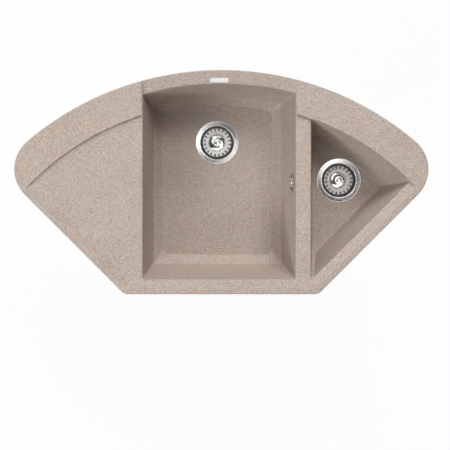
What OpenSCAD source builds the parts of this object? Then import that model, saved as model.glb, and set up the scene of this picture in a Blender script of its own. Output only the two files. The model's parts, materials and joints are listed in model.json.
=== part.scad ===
// Corner kitchen sink in speckled stone composite, with both wastes, overflow, trap and fixing clips.
// Millimetres. +Z is up, +X runs along the front edge, +Y runs to the back corner.
// The origin lies on the worktop's plane, under the middle of the rim's front edge.

/* [Rim] */
// Overall width of the rim
rim_w = 1060; // [1040:2:1080]
// Overall depth of the rim, front edge to the crown of the back arc
rim_d = 574; // [568:1:580]
// Length of the straight front edge, corner to corner
front_w = 496.8; // [480:0.2:510]
// Radius of the back arc
back_r = 767; // [755:1:780]
// Radius of the two side corners
corner_r = 93; // [88:1:98]
// Radius of the two front corners
front_r = 22; // [16:1:28]
// Height of the rim above the worktop
rim_h = 9; // [8:0.5:12]
// Width of the rim's flat outer land
land_w = 15.6; // [13:0.2:18]
// Width of the slope from the land to the recessed work level
slope_w = 22; // [18:1:26]
// How far the work level lies below the rim's top
recess_h = 8; // [6:0.5:8]
// Radius of the rim's outer top edge
edge_r = 3; // [2:0.5:4]
// Width of the two flat ledges behind the drainer and the small bowl
ledge_w = 85; // [80:1:90]
// Thickness of the casting's walls
wall = 9; // [8:0.5:10]
// Thickness of the bowl floors
floor_t = 12; // [11:0.5:14]
// Rounding of the bowls' upper edges
lip_r = 2.8; // [2:0.2:3.4]

/* [Main bowl] */
// Width of the main bowl at its upper edge
main_w = 392.5; // [380:0.5:400]
// Place of the main bowl's centre line along X
main_x = -5.25; // [-10:0.25:0]
// Width of the ramp between the back arc and the main bowl
ramp_w = 35; // [32:1:38]
// Depth of the main bowl below the work level
main_depth = 190; // [170:1:200]
// How far each wall of the main bowl leans in
main_draft = 22; // [16:1:24]
// Width and height of the bevel round the main bowl's floor
bevel = 24; // [18:1:28]
// Rounding between bevel and wall
bevel_soft = 3; // [2:0.5:6]
// Place of the main waste along Y
main_drain_y = 391.5; // [375:0.5:400]
// Fall of the floors towards the wastes
fall = 3; // [2:0.5:4]

/* [Small bowl] */
// Width of the bridge between the two bowls
bridge_w = 39.5; // [38:0.5:46]
// Depth of the small bowl below the work level
small_depth = 150; // [130:1:170]
// How far each wall of the small bowl leans in
small_draft = 19; // [14:1:22]
// How much further its back wall leans in
small_lean = 17; // [10:1:18]
// Radius between the small bowl's walls and floor
small_cove = 5; // [4:0.5:8]
// Distance of the small waste from the small bowl's left edge
small_drain_in = 93.5; // [88:0.5:100]
// Place of the small waste along Y
small_drain_y = 288.5; // [280:0.5:296]

/* [Badge plate] */
// Length of the blank plate
badge_w = 47; // [40:1:55]
// Width of the blank plate
badge_d = 12; // [9:0.5:14]
// Thickness of the blank plate
badge_t = 1; // [0.8:0.1:1.4]
// Depth of its seat in the ramp
badge_seat = 0.6; // [0.5:0.1:0.7]

/* [Rim underside] */
// Width of the seat that rests on the worktop
seat_w = 13; // [12:0.5:14]
// Distance from the rim's edge in to the worktop's cut-out
cutout_in = 10; // [9:0.5:11]
// Width of the rib inside the seat
rib_w = 8; // [6:0.5:9]
// Height of the rib below the worktop's plane
rib_h = 18; // [14:1:20]
// Distance of the sealing groove from the edge
groove_in = 3; // [2.5:0.5:4]
// Width of the sealing groove
groove_w = 6; // [4:0.5:7]
// Depth of the sealing groove
groove_h = 2; // [1.5:0.1:2.5]

/* [Fixing clips] */
// Distance of a clip's pivot from the edge
clip_in = 20; // [19.5:0.5:20.5]
// Radius of the boss over each pivot
boss_r = 6.5; // [6:0.1:6.9]
// Height of the boss below the worktop's plane
boss_h = 20; // [19:0.5:24]
// Thickness of the worktop that the clips grip
worktop_t = 38; // [34:1:40]
// Reach of the clips beyond their pivots
clip_reach = 18; // [15:0.5:19]
// Width of the clips
clip_w = 14; // [12:0.5:15]
// Thickness of the clips' strip
clip_t = 2.4; // [1.8:0.1:2.6]
// Radius of the pivot screws
pivot_r = 2.5; // [2:0.1:3]
// Outer radius of the dowels
dowel_r = 4.2; // [3.8:0.1:4.6]
// Swing of the clips as drawn, 0 grips the worktop
clip_turn = 0; // [0:5:90]

/* [Basket strainers] */
// Radius of the hole in each bowl floor
hole_r = 45; // [44.5:0.5:46]
// Radius of the strainer's flange
flange_r = 59; // [57:0.5:60]
// Fall of the flange from its edge to the hole
flange_fall = 2.8; // [2:0.2:3.4]
// Thickness of the sheet of flange and cup
sheet_t = 1; // [0.8:0.1:1.2]
// Thickness of the gasket under the flange
flange_gasket_t = 1.2; // [1:0.1:1.6]
// Depth of the cup
cup_h = 21; // [20:0.5:24]
// Outer radius of the basket
basket_r = 40.5; // [39.5:0.5:41]
// Height of the basket from its floor to its edge
basket_h = 14.5; // [13:0.5:15.5]
// Thickness of the basket's sheet
basket_t = 0.9; // [0.7:0.1:1.1]
// Number of holes in the basket
basket_holes = 20; // [16:1:22]
// Radius of the basket's holes
basket_hole_r = 2.5; // [2:0.1:2.7]
// Radius of the dome in the basket
dome_r = 25; // [23:0.5:26]
// Height of the dome above the basket's floor
dome_h = 9; // [7:0.5:10]
// Radius of the pull knob
knob_r = 12; // [10:0.5:13]
// Height of the pull knob above the dome
knob_h = 13; // [11:0.5:15]
// Height of the rubber stopper
stopper_h = 5; // [4.5:0.5:6]
// Radius of the clamp screw
clamp_r = 4; // [3:0.5:4]
// How far the baskets are lifted as drawn
basket_lift = 0; // [0:1:60]

/* [Waste bodies] */
// Thickness of the gasket under each bowl floor
under_gasket_t = 4; // [3:0.5:5]
// Height of the waste bodies below the bowl floors
waste_h = 75; // [72:1:85]
// Wall of the plastic bodies
plastic_t = 3; // [2.5:0.25:3.5]
// Height of the funnel's straight upper part
funnel_h = 26; // [24:1:30]

/* [Pipes and trap] */
// Radius of the drain pipes between wastes and trap
pipe_r = 20; // [19:0.5:21]
// Radius of the outlet pipe
outlet_r = 25; // [24:0.5:26]
// Wall of the pipes
pipe_t = 1.8; // [1.5:0.1:2.4]
// Depth to which a pipe is pushed in its socket
insert_l = 22; // [20:1:24]
// Height of the union nuts
nut_h = 22; // [20:1:24]
// Drop from the main outlet to the branch of the tee
branch_drop = 38; // [37:1:44]
// Reach of the tee's branch
branch_l = 58; // [56:1:66]
// Bend radius of the connecting pipe
bend_r = 32; // [28:1:36]
// Radius of the trap's body
trap_r = 38; // [37:0.5:42]
// Gap between the trap's outlet socket and its cup
trap_gap = 3; // [2:1:20]
// Height of the trap's cup below the body
cup_deep = 76; // [66:1:90]
// Length of the outlet pipe that stands free
outlet_l = 100; // [80:1:140]
// How far the trap's cup is lowered as drawn
cup_drop = 0; // [0:1:60]

/* [Overflow] */
// Place of the overflow along Y
over_y = 286; // [280:1:292]
// Depth of the overflow below the work level
over_depth = 33; // [32.5:0.5:38]
// Radius of the chrome cover
cover_r = 26; // [24:0.5:27]
// Length of the hole in the wall
over_hole_l = 44; // [40:1:46]
// Height of the hole in the wall
over_hole_h = 32; // [28:1:32]
// Thickness of the gasket behind the wall
over_gasket_t = 2.5; // [2:0.5:3]
// Depth of the housing behind the wall
housing_t = 15; // [13:0.5:15]
// Outer radius of the hose spigots
spigot_r = 9.5; // [9:0.1:10]
// Height of the hose's ribs over its root
rib_rise = 2; // [1.5:0.1:2.2]
// Pitch of the hose's ribs
rib_pitch = 4; // [3.5:0.25:5]
// Bend radius of the hose
hose_bend = 40; // [36:1:44]

/* [Hidden] */
$fn = 72;

stone = [0.73, 0.65, 0.6];
steel = [0.78, 0.79, 0.8];
chrome = [0.86, 0.87, 0.88];
brass = [0.8, 0.66, 0.36];
rubber = [0.16, 0.16, 0.17];
plastic = [0.93, 0.93, 0.91];

// Clearance of pieces that are pushed together, of threads and of running fits
push = 0.3;
thread_gap = 0.2;
running = 0.06;
seat_gap = 0.1;
// Overlap that lets cuts and joined shapes run past each other
eps = 0.5;
// Steps round a softened edge
round_steps = 3;
// Wall of the sockets, and how far a union nut leads past one with its lip
socket_wall = 3.6;
nut_lead = 8;
nut_lip = 3;
nut_bevel = 2;
grips = 12;
grip_r = 1.6;

// Levels
level = rim_h - recess_h;
panel_z = level - wall;
main_floor = level - main_depth;
small_floor = level - small_depth;

// The back arc's centre, the side corners' centres, and the diagonals' turn from the front edge
arc_y = rim_d - back_r;
side_x = rim_w / 2 - corner_r;
side_y = arc_y + sqrt(pow(back_r - corner_r, 2) - pow(side_x, 2));
front_x = front_w / 2;
turn = atan2(side_y, side_x - front_x) - asin(corner_r / norm([side_x - front_x, side_y]));
side_angle = atan2(side_y - arc_y, side_x);
step_r = back_r - ledge_w;
margin = land_w + slope_w;

// The bowls' straight edges
main_l = main_x - main_w / 2;
main_r = main_x + main_w / 2;
main_back = back_r - ramp_w;
small_l = main_r + bridge_w;
small_back_r = step_r;
main_drain = [main_x, main_drain_y, main_floor];
small_drain = [small_l + small_drain_in, small_drain_y, small_floor];

// The overflow's plane on the main bowl's right wall, and the depths behind it
wall_angle = atan2(main_draft, main_depth - fall - bevel);
over_x = main_r - over_depth * tan(wall_angle);
wall_across = wall * cos(wall_angle);
eps_seat = 0.4;
over_seat_l = over_hole_l + 12;
over_seat_h = over_hole_h + 10;
over_seat = wall_across - eps_seat;
over_back = over_seat + over_gasket_t + housing_t;
hose_x = over_x + over_seat + over_gasket_t + spigot_r - 1;
hose_top = level - over_depth - over_seat_h / 2 - 4;

function arc(c, r, a, b, n) =
  [for (i = [0 : n]) let (t = a + (b - a) * i / n) [c.x + r * cos(t), c.y + r * sin(t)]];
function angle_of(p) = atan2(p.y - arc_y, p.x);
function on_back(x, r) = [x, arc_y + sqrt(r * r - x * x)];
function mirrored(p) = [for (i = [len(p) - 1 : -1 : 0]) [-p[i].x, p[i].y]];

// A point at height y on the right diagonal, inset by d, and the height of that line at x
function diag_x(d, y) = front_x + (y - d / cos(turn)) / tan(turn);
function diag_y(d, x) = (x - front_x) * tan(turn) + d / cos(turn);

// The rim's outline, inset by d, from the front's middle round to the front's middle
function half_rim(d) =
  let (f = max(front_r - d, 1.5),
       fc = [front_x - (d + f) * tan(turn / 2), d + f],
       sc = [side_x, side_y],
       a = angle_of(sc))
  concat(arc(fc, f, -90, turn - 90, 6), arc(sc, corner_r - d, turn - 90, 0, 7),
    arc(sc, corner_r - d, a / 9, a, 8), arc([0, arc_y], back_r - d, a + 1, 89, 34));
function rim(d) = concat(half_rim(d), [[0, rim_d - d]], mirrored(half_rim(d)));

// The main bowl's outline, inset by d, with corners of radius r
function main_ring(d, r) =
  let (x0 = main_l + d + r, x1 = main_r - d - r, y0 = margin + d + r, b = main_back - d,
       p1 = on_back(x1, b - r), p0 = on_back(x0, b - r))
  concat(arc([x0, y0], r, 180, 270, 6), arc([x1, y0], r, 270, 360, 6), arc(p1, r, 0, angle_of(p1), 6),
    arc([0, arc_y], b, angle_of(p1) + 1.5, angle_of(p0) - 1.5, 18), arc(p0, r, angle_of(p0), 180, 6));

// The small bowl's outline, inset by d and at the back by e, with corners of radius r
function small_ring(d, r, e) =
  let (x0 = small_l + d + r, b = small_back_r - e, q = margin + d + r,
       front = [x0, diag_y(q, x0)],
       m = diag_y(q, 0) - arc_y,
       k = tan(turn),
       tx = (sqrt((1 + k * k) * pow(b - r, 2) - m * m) - k * m) / (1 + k * k),
       tip = [tx, diag_y(q, tx)],
       back = on_back(x0, b - r))
  concat(arc(front, r, 180, 270 + turn, 8), arc(tip, r, turn - 90, angle_of(tip), 7),
    arc([0, arc_y], b, angle_of(tip) + 1.5, angle_of(back) - 1.5, 14),
    arc(back, r, angle_of(back), 180, 6));

// A profile of [height, inset] points with its inner corners rounded off over the lengths in cuts
function rounded(p, cuts) = concat([p[0]],
  [for (i = [1 : len(p) - 2])
    let (a = p[i] + (p[i - 1] - p[i]) / norm(p[i - 1] - p[i]) * cuts[i - 1],
         b = p[i] + (p[i + 1] - p[i]) / norm(p[i + 1] - p[i]) * cuts[i - 1])
    each [for (t = [0 : 1 / round_steps : 1]) (1 - t) * (1 - t) * a + 2 * t * (1 - t) * p[i] + t * t * b]],
  [p[len(p) - 1]]);

// The share of each floor's outline, drawn in round its drain, that lies level with the drain
main_level = 0.64;
small_level = 0.96;
// Roundings of a floor's edge and of a slope's edges
floor_soft = 3;
slope_soft = 2.5;

// A ring drawn in towards a point
function drawn_in(ring, c, k) = [for (p = ring) [c.x + (p.x - c.x) * k, c.y + (p.y - c.y) * k]];

// A solid through rings of equally many points, given from the bottom up as [height, points]
module loft(rings) {
  n = len(rings[0][1]);
  last = len(rings) - 1;
  points = [for (r = rings) for (p = r[1]) [p.x, p.y, r[0]]];
  sides = [for (j = [0 : last - 1]) for (i = [0 : n - 1])
    let (a = j * n + i, b = j * n + (i + 1) % n)
    each [[a, a + n, b + n], [a, b + n, b]]];
  under = [for (i = [0 : n - 1]) i];
  over = [for (i = [n - 1 : -1 : 0]) last * n + i];
  polyhedron(points, concat([under], sides, [over]));
}

// The casting

module rim_plate() {
  linear_extrude(rim_h - edge_r) polygon(rim(0));
  loft([for (a = [0 : 22.5 : 90]) [rim_h - edge_r * (1 - sin(a)), rim(edge_r * (1 - cos(a)))]]);
}

// The panel under the recess, and the rib inside the seat
module underside() {
  intersection() {
    translate([0, 0, panel_z]) linear_extrude(-panel_z + eps) polygon(rim(seat_w));
    translate([0, arc_y, panel_z - eps]) cylinder(r = step_r + wall, h = wall + 2 * eps, $fn = 180);
  }
  translate([0, 0, -rib_h]) linear_extrude(rib_h + eps) difference() {
    polygon(rim(seat_w));
    polygon(rim(seat_w + rib_w));
  }
  for (c = clip_places) translate([c.x, c.y, -boss_h]) cylinder(r = boss_r, h = boss_h + eps);
}

module main_shell() {
  loft([[main_floor - floor_t, main_ring(main_draft + bevel - wall * 0.6, 16)],
    [main_floor + bevel - floor_t + wall, main_ring(main_draft - wall, 16)],
    [eps, main_ring(-wall, 12)]]);
}

module small_shell() {
  low = small_draft + small_cove - wall;
  loft([[small_floor - floor_t, small_ring(low, 12, low + small_lean)],
    [small_floor + small_cove - wall, small_ring(small_draft - wall, 14, small_draft - wall + small_lean)],
    [eps, small_ring(-wall, 12, -wall)]]);
}

// Each bowl's profile: floor, bevel or cove, wall, lip. Its corners open out towards the floor.
module main_hollow() {
  foot = main_draft + bevel;
  base = main_floor + fall;
  profile = rounded([[base, foot + 4], [base, foot], [base + bevel, main_draft],
    [level, 0], [level, -lip_r - 1]], [floor_soft, bevel_soft, lip_r]);
  function r(d) = lookup(d, [[0, 6], [main_draft, 9], [foot, 18]]);
  loft(concat([[main_floor, drawn_in(main_ring(foot + 4, 18), main_drain, main_level)]],
    [for (q = profile) if (q[1] > -lip_r - 0.5) [q[0], main_ring(q[1], r(q[1]))]],
    [[rim_h + eps, main_ring(-lip_r, 6)]]));
}

// The small bowl's back wall leans in further with depth, and runs on up to the top of the ledge.
module small_hollow() {
  foot = small_draft + small_cove;
  base = small_floor + fall;
  past = 0.6;
  top = 1.9;
  profile = rounded([[base, foot + 5], [base, foot], [base + small_cove, small_draft],
    [level, 0], [level, -lip_r - 1]], [floor_soft, floor_soft, lip_r]);
  function r(d) = lookup(d, [[0, 5], [small_draft, 7]]);
  function e(q) = max(q[1], -past) + small_lean * (level - q[0]) / (level - base);
  flat = small_ring(foot + 5, 7, foot + 5 + small_lean);
  loft(concat([[small_floor, drawn_in(flat, small_drain, small_level)]],
    [for (q = profile) if (q[1] > -lip_r - 0.5) [q[0], small_ring(q[1], r(q[1]), e(q))]],
    [for (q = [[rim_h - 1.4, past], [rim_h - 0.4, past + 0.4], [rim_h, top], [rim_h + eps, top]])
      [q[0], small_ring(-lip_r, 5, -q[1])]]));
}

// The recessed work level with its slope along the front and the diagonals, and the step to the ledges
module recess_cut() {
  profile = rounded([[level, margin + 3], [level, margin], [rim_h, land_w], [rim_h, land_w - 3]],
    [slope_soft, slope_soft]);
  soft = 1;
  intersection() {
    loft(concat([for (i = [1 : len(profile) - 2]) [profile[i][0], rim(profile[i][1])]],
      [[rim_h + 1, rim(land_w - 3)]]));
    translate([0, arc_y, 0]) rotate_extrude($fn = 180) polygon([[0, level - 1], [step_r, level - 1],
      [step_r, rim_h - soft], [step_r + soft * 0.3, rim_h - soft * 0.3], [step_r + soft, rim_h],
      [step_r + soft, rim_h + 3], [0, rim_h + 3]]);
  }
}

// The ramp from the back edge down to the main bowl
ramp_top = back_r - edge_r;
ramp_pitch = recess_h / (ramp_top - main_back);
module ramp_cut() {
  inner = main_back - 30;
  outer = back_r + 2;
  intersection() {
    translate([0, arc_y, 0]) rotate_extrude($fn = 180)
      polygon([[inner, level], [main_back, level], [outer, level + (outer - main_back) * ramp_pitch],
        [outer, rim_h + 4], [inner, rim_h + 4]]);
    translate([main_l - lip_r, margin, level - 1])
      cube([main_w + 2 * lip_r, rim_d, recess_h + 6]);
  }
}

// Seats of flange and gasket, with the hole for the cup
recess_lip = sheet_t + flange_gasket_t - 0.2;
recess_r = flange_r + 1;
seat_drop = recess_lip + flange_fall;
module drain_cut() {
  translate([0, 0, -recess_lip]) cylinder(r = recess_r, h = recess_lip + 2 * fall);
  translate([0, 0, -seat_drop]) cylinder(r1 = hole_r, r2 = recess_r, h = flange_fall);
  translate([0, 0, -floor_t - 1]) cylinder(r = hole_r, h = floor_t + 1);
}

// Pivots of the clips as [x, y, outward turn]: two at the front, one on each diagonal, four round
// the back. The shares say how far out along the front's half and up the diagonal they sit.
front_clip_share = 0.6;
diag_clip_share = 0.55;
front_clip_x = front_x * front_clip_share;
diag_clip_y = (side_y - corner_r * cos(turn)) * diag_clip_share;
back_clip_angles = [side_angle, (side_angle + 90) / 2];
diag_clip_x = diag_x(clip_in, diag_clip_y);
function back_clip(a) = [(back_r - clip_in) * cos(a), arc_y + (back_r - clip_in) * sin(a), a];
clip_places = [
  [-front_clip_x, clip_in, -90], [front_clip_x, clip_in, -90],
  [diag_clip_x, diag_clip_y, turn - 90], [-diag_clip_x, diag_clip_y, -90 - turn],
  back_clip(back_clip_angles[0]), back_clip(back_clip_angles[1]),
  back_clip(180 - back_clip_angles[1]), back_clip(180 - back_clip_angles[0])
];

module sink_body() {
  color(stone) difference() {
    union() {
      rim_plate();
      underside();
      main_shell();
      small_shell();
    }
    recess_cut();
    ramp_cut();
    main_hollow();
    small_hollow();
    translate(main_drain) drain_cut();
    translate(small_drain) drain_cut();
    at_overflow() translate([0, 0, -wall - 4]) stadium(over_hole_l, over_hole_h, wall + 8);
    at_overflow() translate([0, 0, -wall_across - 10]) stadium(over_seat_l, over_seat_h, 10 + eps_seat);
    on_ramp() translate([0, 0, -badge_seat]) plate(badge_w + 2 * push, badge_d + 2 * push, 6);
    groove();
    for (c = clip_places) translate([c.x, c.y, -boss_h - 1])
      cylinder(r = dowel_r + 0.05, h = dowel_l + 1.2);
  }
}

// A plate with round corners, standing on its own plane
module plate(w, d, h) {
  r = 2;
  linear_extrude(h) union() {
    square([w - 2 * r, d], center = true);
    square([w, d - 2 * r], center = true);
    for (x = [-1, 1], y = [-1, 1]) translate([x * (w / 2 - r), y * (d / 2 - r)]) circle(r = r, $fn = 32);
  }
}

badge_at = (ramp_top + main_back) / 2 - 7;
badge_y = arc_y + sqrt(badge_at * badge_at - main_x * main_x);
badge_z = level + (badge_at - main_back) * ramp_pitch;
module on_ramp() { translate([main_x, badge_y, badge_z]) rotate([atan(ramp_pitch), 0, 0]) children(); }

module badge_plate() {
  color(plastic) on_ramp() translate([0, 0, -badge_seat]) plate(badge_w, badge_d, badge_t);
}

module groove() {
  translate([0, 0, -1]) linear_extrude(groove_h + 1) difference() {
    polygon(rim(groove_in));
    polygon(rim(groove_in + groove_w));
  }
}

module rim_seal() {
  color(rubber) linear_extrude(groove_h) difference() {
    polygon(rim(groove_in + push));
    polygon(rim(groove_in + groove_w - push));
  }
}

// The fixing clips

dowel_l = 13;
pivot_head_r = 4.8;
pivot_head_h = 3;
clip_play = 0.1;
clip_z = -boss_h - clip_play;
clip_leg_x = clip_in - cutout_in - 1.5 - clip_t;

module at_clip(i) {
  translate([clip_places[i].x, clip_places[i].y, 0]) rotate([0, 0, clip_places[i].z]) children();
}

// A strip bent down beside the cut-out and out under the worktop, with two teeth
module clip_strip() {
  bottom = -worktop_t - 1.6;
  difference() {
    union() {
      translate([0, 0, clip_z - clip_t]) cylinder(r = clip_w / 2, h = clip_t);
      translate([0, -clip_w / 2, clip_z - clip_t]) cube([clip_leg_x + clip_t, clip_w, clip_t]);
      translate([clip_leg_x, -clip_w / 2, bottom - clip_t])
        cube([clip_t, clip_w, clip_z - bottom + clip_t]);
      translate([clip_leg_x, -clip_w / 2, bottom - clip_t]) cube([clip_reach - clip_leg_x, clip_w, clip_t]);
      for (y = [-1, 1]) translate([clip_reach, y * clip_w * 0.3, bottom - eps]) rotate([0, -90, 0])
        linear_extrude(clip_t) polygon([[0, -2], [1.6 + eps, 0], [0, 2]]);
    }
    translate([0, 0, clip_z - clip_t - 1]) cylinder(r = pivot_r + running, h = clip_t + 2);
  }
}

module fixing_clip(i) {
  color(steel) at_clip(i) rotate([0, 0, clip_turn]) clip_strip();
}
module fixing_clip_1() { fixing_clip(0); }
module fixing_clip_2() { fixing_clip(1); }
module fixing_clip_3() { fixing_clip(2); }
module fixing_clip_4() { fixing_clip(3); }
module fixing_clip_5() { fixing_clip(4); }
module fixing_clip_6() { fixing_clip(5); }
module fixing_clip_7() { fixing_clip(6); }
module fixing_clip_8() { fixing_clip(7); }

module clip_screws() {
  head_z = clip_z - clip_t - clip_play;
  color(steel) for (i = [0 : 7]) at_clip(i) difference() {
    union() {
      translate([0, 0, head_z - pivot_head_h]) cylinder(r = pivot_head_r, h = pivot_head_h);
      translate([0, 0, head_z - eps]) cylinder(r = pivot_r, h = -boss_h + dowel_l - 2 - head_z + eps);
    }
    for (a = [0, 90]) translate([0, 0, head_z - pivot_head_h]) rotate([0, 0, a])
      cube([5, 1, 2.4], center = true);
  }
}

module clip_dowels() {
  color(plastic) for (i = [0 : 7]) at_clip(i) translate([0, 0, -boss_h]) difference() {
    cylinder(r = dowel_r, h = dowel_l);
    translate([0, 0, -1]) cylinder(r = pivot_r + 0.05, h = dowel_l - 0.5);
  }
}

// The basket strainers, drawn from the level of the bowl floor at the waste

hole_z = -seat_drop;
slope = flange_fall / (recess_r - hole_r);
function seat_z(r) = hole_z + (r - hole_r) * slope;
cup_r = hole_r - 1;
cup_floor = hole_z - cup_h;
well_r = 10.5;
well_h = 4;

module flange_gasket() {
  a = hole_r + 1.5;
  b = flange_r - 1.5;
  color(rubber) rotate_extrude($fn = 96) polygon([[a, seat_z(a) + seat_gap], [b, seat_z(b) + seat_gap],
    [b, seat_z(b) + flange_gasket_t], [a, seat_z(a) + flange_gasket_t]]);
}

module strainer_cup() {
  g = flange_gasket_t;
  t = sheet_t;
  well_z = cup_floor - well_h;
  edge = seat_z(flange_r) + g;
  color(steel) difference() {
    rotate_extrude($fn = 96) polygon([
      [flange_r - 0.6, edge], [flange_r, edge + 0.3], [flange_r, edge + t - 0.2],
      [flange_r - 0.5, edge + t], [hole_r + 0.5, seat_z(hole_r) + g + t], [cup_r - t, hole_z + 0.4],
      [cup_r - t - 0.6, cup_floor + 5], [cup_r - t - 3, cup_floor + 1.2], [cup_r - t - 6, cup_floor],
      [well_r, cup_floor], [well_r - 1, well_z], [0, well_z], [0, well_z - t],
      [well_r - 0.6, well_z - t], [well_r + 0.4, cup_floor - t],
      [cup_r - t - 5.6, cup_floor - t], [cup_r - 2.4, cup_floor + 0.6], [cup_r - 0.6, cup_floor + 5],
      [cup_r, hole_z], [hole_r + 0.5, seat_z(hole_r + 0.5) + g]]);
    for (i = [0 : 7]) rotate([0, 0, i * 45]) translate([17, 0, cup_floor - 3]) cylinder(r = 5, h = 6);
    translate([0, 0, well_z - 3]) cylinder(r = clamp_r + 0.2, h = 6);
  }
}

clamp_head_h = 3.6;
module clamp_screw() {
  seat = cup_floor - well_h;
  top = seat + clamp_head_h;
  tip = insert_z - insert_h - 3;
  color(steel) difference() {
    union() {
      translate([0, 0, seat]) cylinder(r = 7.5, h = clamp_head_h);
      translate([0, 0, tip]) cylinder(r = clamp_r, h = seat - tip + eps);
    }
    translate([-8, -0.8, top - 1.6]) cube([16, 1.6, 2]);
  }
}

// Local heights of the basket: floor of the basket, top of the dome
basket_z = cup_floor + stopper_h;
dome_z = basket_z + dome_h;
edge_z = basket_z + basket_h;
ring_r = dome_r + 7.5;
// The dome's skin from its hole out to its shoulder, for the share f of the way, lowered by drop
dome_steps = 6;
dome_bow = dome_h * 0.5;
function dome_point(f, drop) =
  let (x = stud_r + 0.2 + f * (dome_r - 4.3 - drop / 2))
  [x, dome_z - drop - dome_bow * pow(x / dome_r, 2)];

module basket() {
  t = basket_t;
  hole_at = (ring_r + basket_r - 1.5) / 2;
  lean = atan2(basket_r - 1.5 - ring_r, basket_h - 2);
  color(steel) translate([0, 0, basket_lift]) difference() {
    rotate_extrude($fn = 96) polygon(concat(
      [for (a = [0 : dome_steps]) dome_point(a / dome_steps, t)],
      [[dome_r - t, basket_z + 1.5], [dome_r + 0.6 - t, basket_z], [ring_r + 0.4, basket_z],
      [ring_r + 1.4, basket_z + 1], [basket_r - 0.9, edge_z - 1.4],
      [basket_r, edge_z - 0.8], [basket_r, edge_z], [basket_r - 1.2, edge_z],
      [basket_r - 1.9, edge_z - 0.9],
      [ring_r + 0.7, basket_z + 1.6], [ring_r - 0.2, basket_z + t], [dome_r + 0.8, basket_z + t],
      [dome_r, basket_z + 2]],
      [for (a = [dome_steps : -1 : 0]) dome_point(a / dome_steps, 0)]));
    for (i = [0 : basket_holes - 1]) rotate([0, 0, (i + 0.5) * 360 / basket_holes])
      translate([hole_at, 0, basket_z + basket_h * 0.5]) rotate([0, 90 - lean, 0])
        cylinder(r = basket_hole_r, h = 8, center = true);
  }
}

// The knob, with the stud that runs down through dome and stopper
stud_r = 3;
nut_z = basket_z - 1.6;
module knob() {
  color(chrome) translate([0, 0, basket_lift]) rotate_extrude() polygon([
    [0, nut_z - 3], [stud_r, nut_z - 3], [stud_r, dome_z], [knob_r - 3, dome_z],
    [knob_r - 3.6, dome_z + 1.6], [knob_r - 5, dome_z + knob_h * 0.42],
    [knob_r - 1, dome_z + knob_h * 0.62], [knob_r, dome_z + knob_h * 0.75],
    [knob_r - 0.5, dome_z + knob_h * 0.9], [knob_r - 2, dome_z + knob_h * 0.98],
    [knob_r - 3.4, dome_z + knob_h],
    [knob_r - 4.2, dome_z + knob_h - 0.8], [0, dome_z + knob_h - 1.2]]);
}

module basket_seal() {
  lip = dome_r + 5;
  color(rubber) translate([0, 0, basket_lift]) rotate_extrude() polygon([
    [stud_r + 0.1, nut_z], [lip - 4.5, nut_z], [lip - 3.2, cup_floor + 0.6],
    [lip - 2.4, cup_floor], [lip - 0.8, cup_floor], [lip, cup_floor + 0.8],
    [lip - 0.4, basket_z - 0.8], [lip - 0.4, basket_z], [stud_r + 0.1, basket_z]]);
}

module basket_nut() {
  color(steel) translate([0, 0, basket_lift + nut_z - 2.8]) difference() {
    cylinder(r = 5.6, h = 2.8, $fn = 6);
    translate([0, 0, -1]) cylinder(r = stud_r + 0.05, h = 5);
  }
}

// The waste bodies under the floors

under_z = -floor_t;
body_z = under_z - under_gasket_t;
mouth_z = under_z - waste_h;
thread_r = pipe_r + push + socket_wall;
funnel_r = hole_r + 1;
insert_z = body_z - funnel_h - 4;
insert_h = 12;
body_flange = 4;
hose_bore = (spigot_r + 0.15) / cos(22.5);
hose_root = hose_bore + 0.7;
port_z = body_z - body_flange - hose_root - 4;
port_l = funnel_r + plastic_t + 24;

module lower_gasket() {
  color(rubber) translate([0, 0, body_z]) difference() {
    cylinder(r = flange_r - 1, h = under_gasket_t);
    translate([0, 0, -1]) cylinder(r = hole_r + 0.5, h = under_gasket_t + 2);
  }
}

module waste_body(port) {
  t = plastic_t;
  cone_z = body_z - funnel_h;
  color(plastic) difference() {
    union() {
      difference() {
        union() {
          rotate_extrude() polygon([
            [0, mouth_z], [thread_r, mouth_z], [thread_r, mouth_z + 20], [pipe_r + push + t, mouth_z + 20],
            [pipe_r + push + t, cone_z - 14], [funnel_r + t, cone_z], [funnel_r + t, body_z - body_flange],
            [flange_r - 1, body_z - body_flange], [flange_r - 1, body_z], [0, body_z]]);
          if (port) translate([0, 0, port_z]) rotate([0, 90, 0]) {
            cylinder(r = spigot_r, h = port_l, $fn = 48);
            cylinder(r = spigot_r + 3, h = funnel_r + t + 3, $fn = 48);
          }
        }
        rotate_extrude() polygon([
          [0, mouth_z - 1], [pipe_r + push, mouth_z - 1], [pipe_r + push, mouth_z + insert_l],
          [pipe_r - 2, mouth_z + insert_l + 1],
          [pipe_r - 2, cone_z - 13], [funnel_r, cone_z + 1], [funnel_r, body_z + 1], [0, body_z + 1]]);
        if (port) translate([0, 0, port_z]) rotate([0, 90, 0])
          cylinder(r = spigot_r - 2, h = port_l + 1, $fn = 48);
      }
      translate([0, 0, insert_z - insert_h - 2]) cylinder(r = 10, h = insert_h + 2);
      intersection() {
        for (a = [45, 135]) rotate([0, 0, a]) translate([-funnel_r, -1.5, insert_z - insert_h])
          cube([2 * funnel_r, 3, insert_h - 2]);
        rotate_extrude() polygon([[0, cone_z - 13 - t], [pipe_r - 1, cone_z - 13 - t],
          [pipe_r - 1, cone_z - 12], [funnel_r + 1, cone_z + 2], [funnel_r + 1, body_z], [0, body_z]]);
      }
    }
    translate([0, 0, insert_z - insert_h]) cylinder(r = insert_r, h = insert_h + 1, $fn = 6);
    translate([0, 0, insert_z - insert_h - 5]) cylinder(r = clamp_r + 0.3, h = 6);
  }
}

insert_r = 7.5;
module brass_insert() {
  color(brass) translate([0, 0, insert_z - insert_h]) difference() {
    cylinder(r = insert_r - 0.1, h = insert_h, $fn = 6);
    translate([0, 0, -1]) cylinder(r = clamp_r + 0.05, h = insert_h + 2);
  }
}

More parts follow.
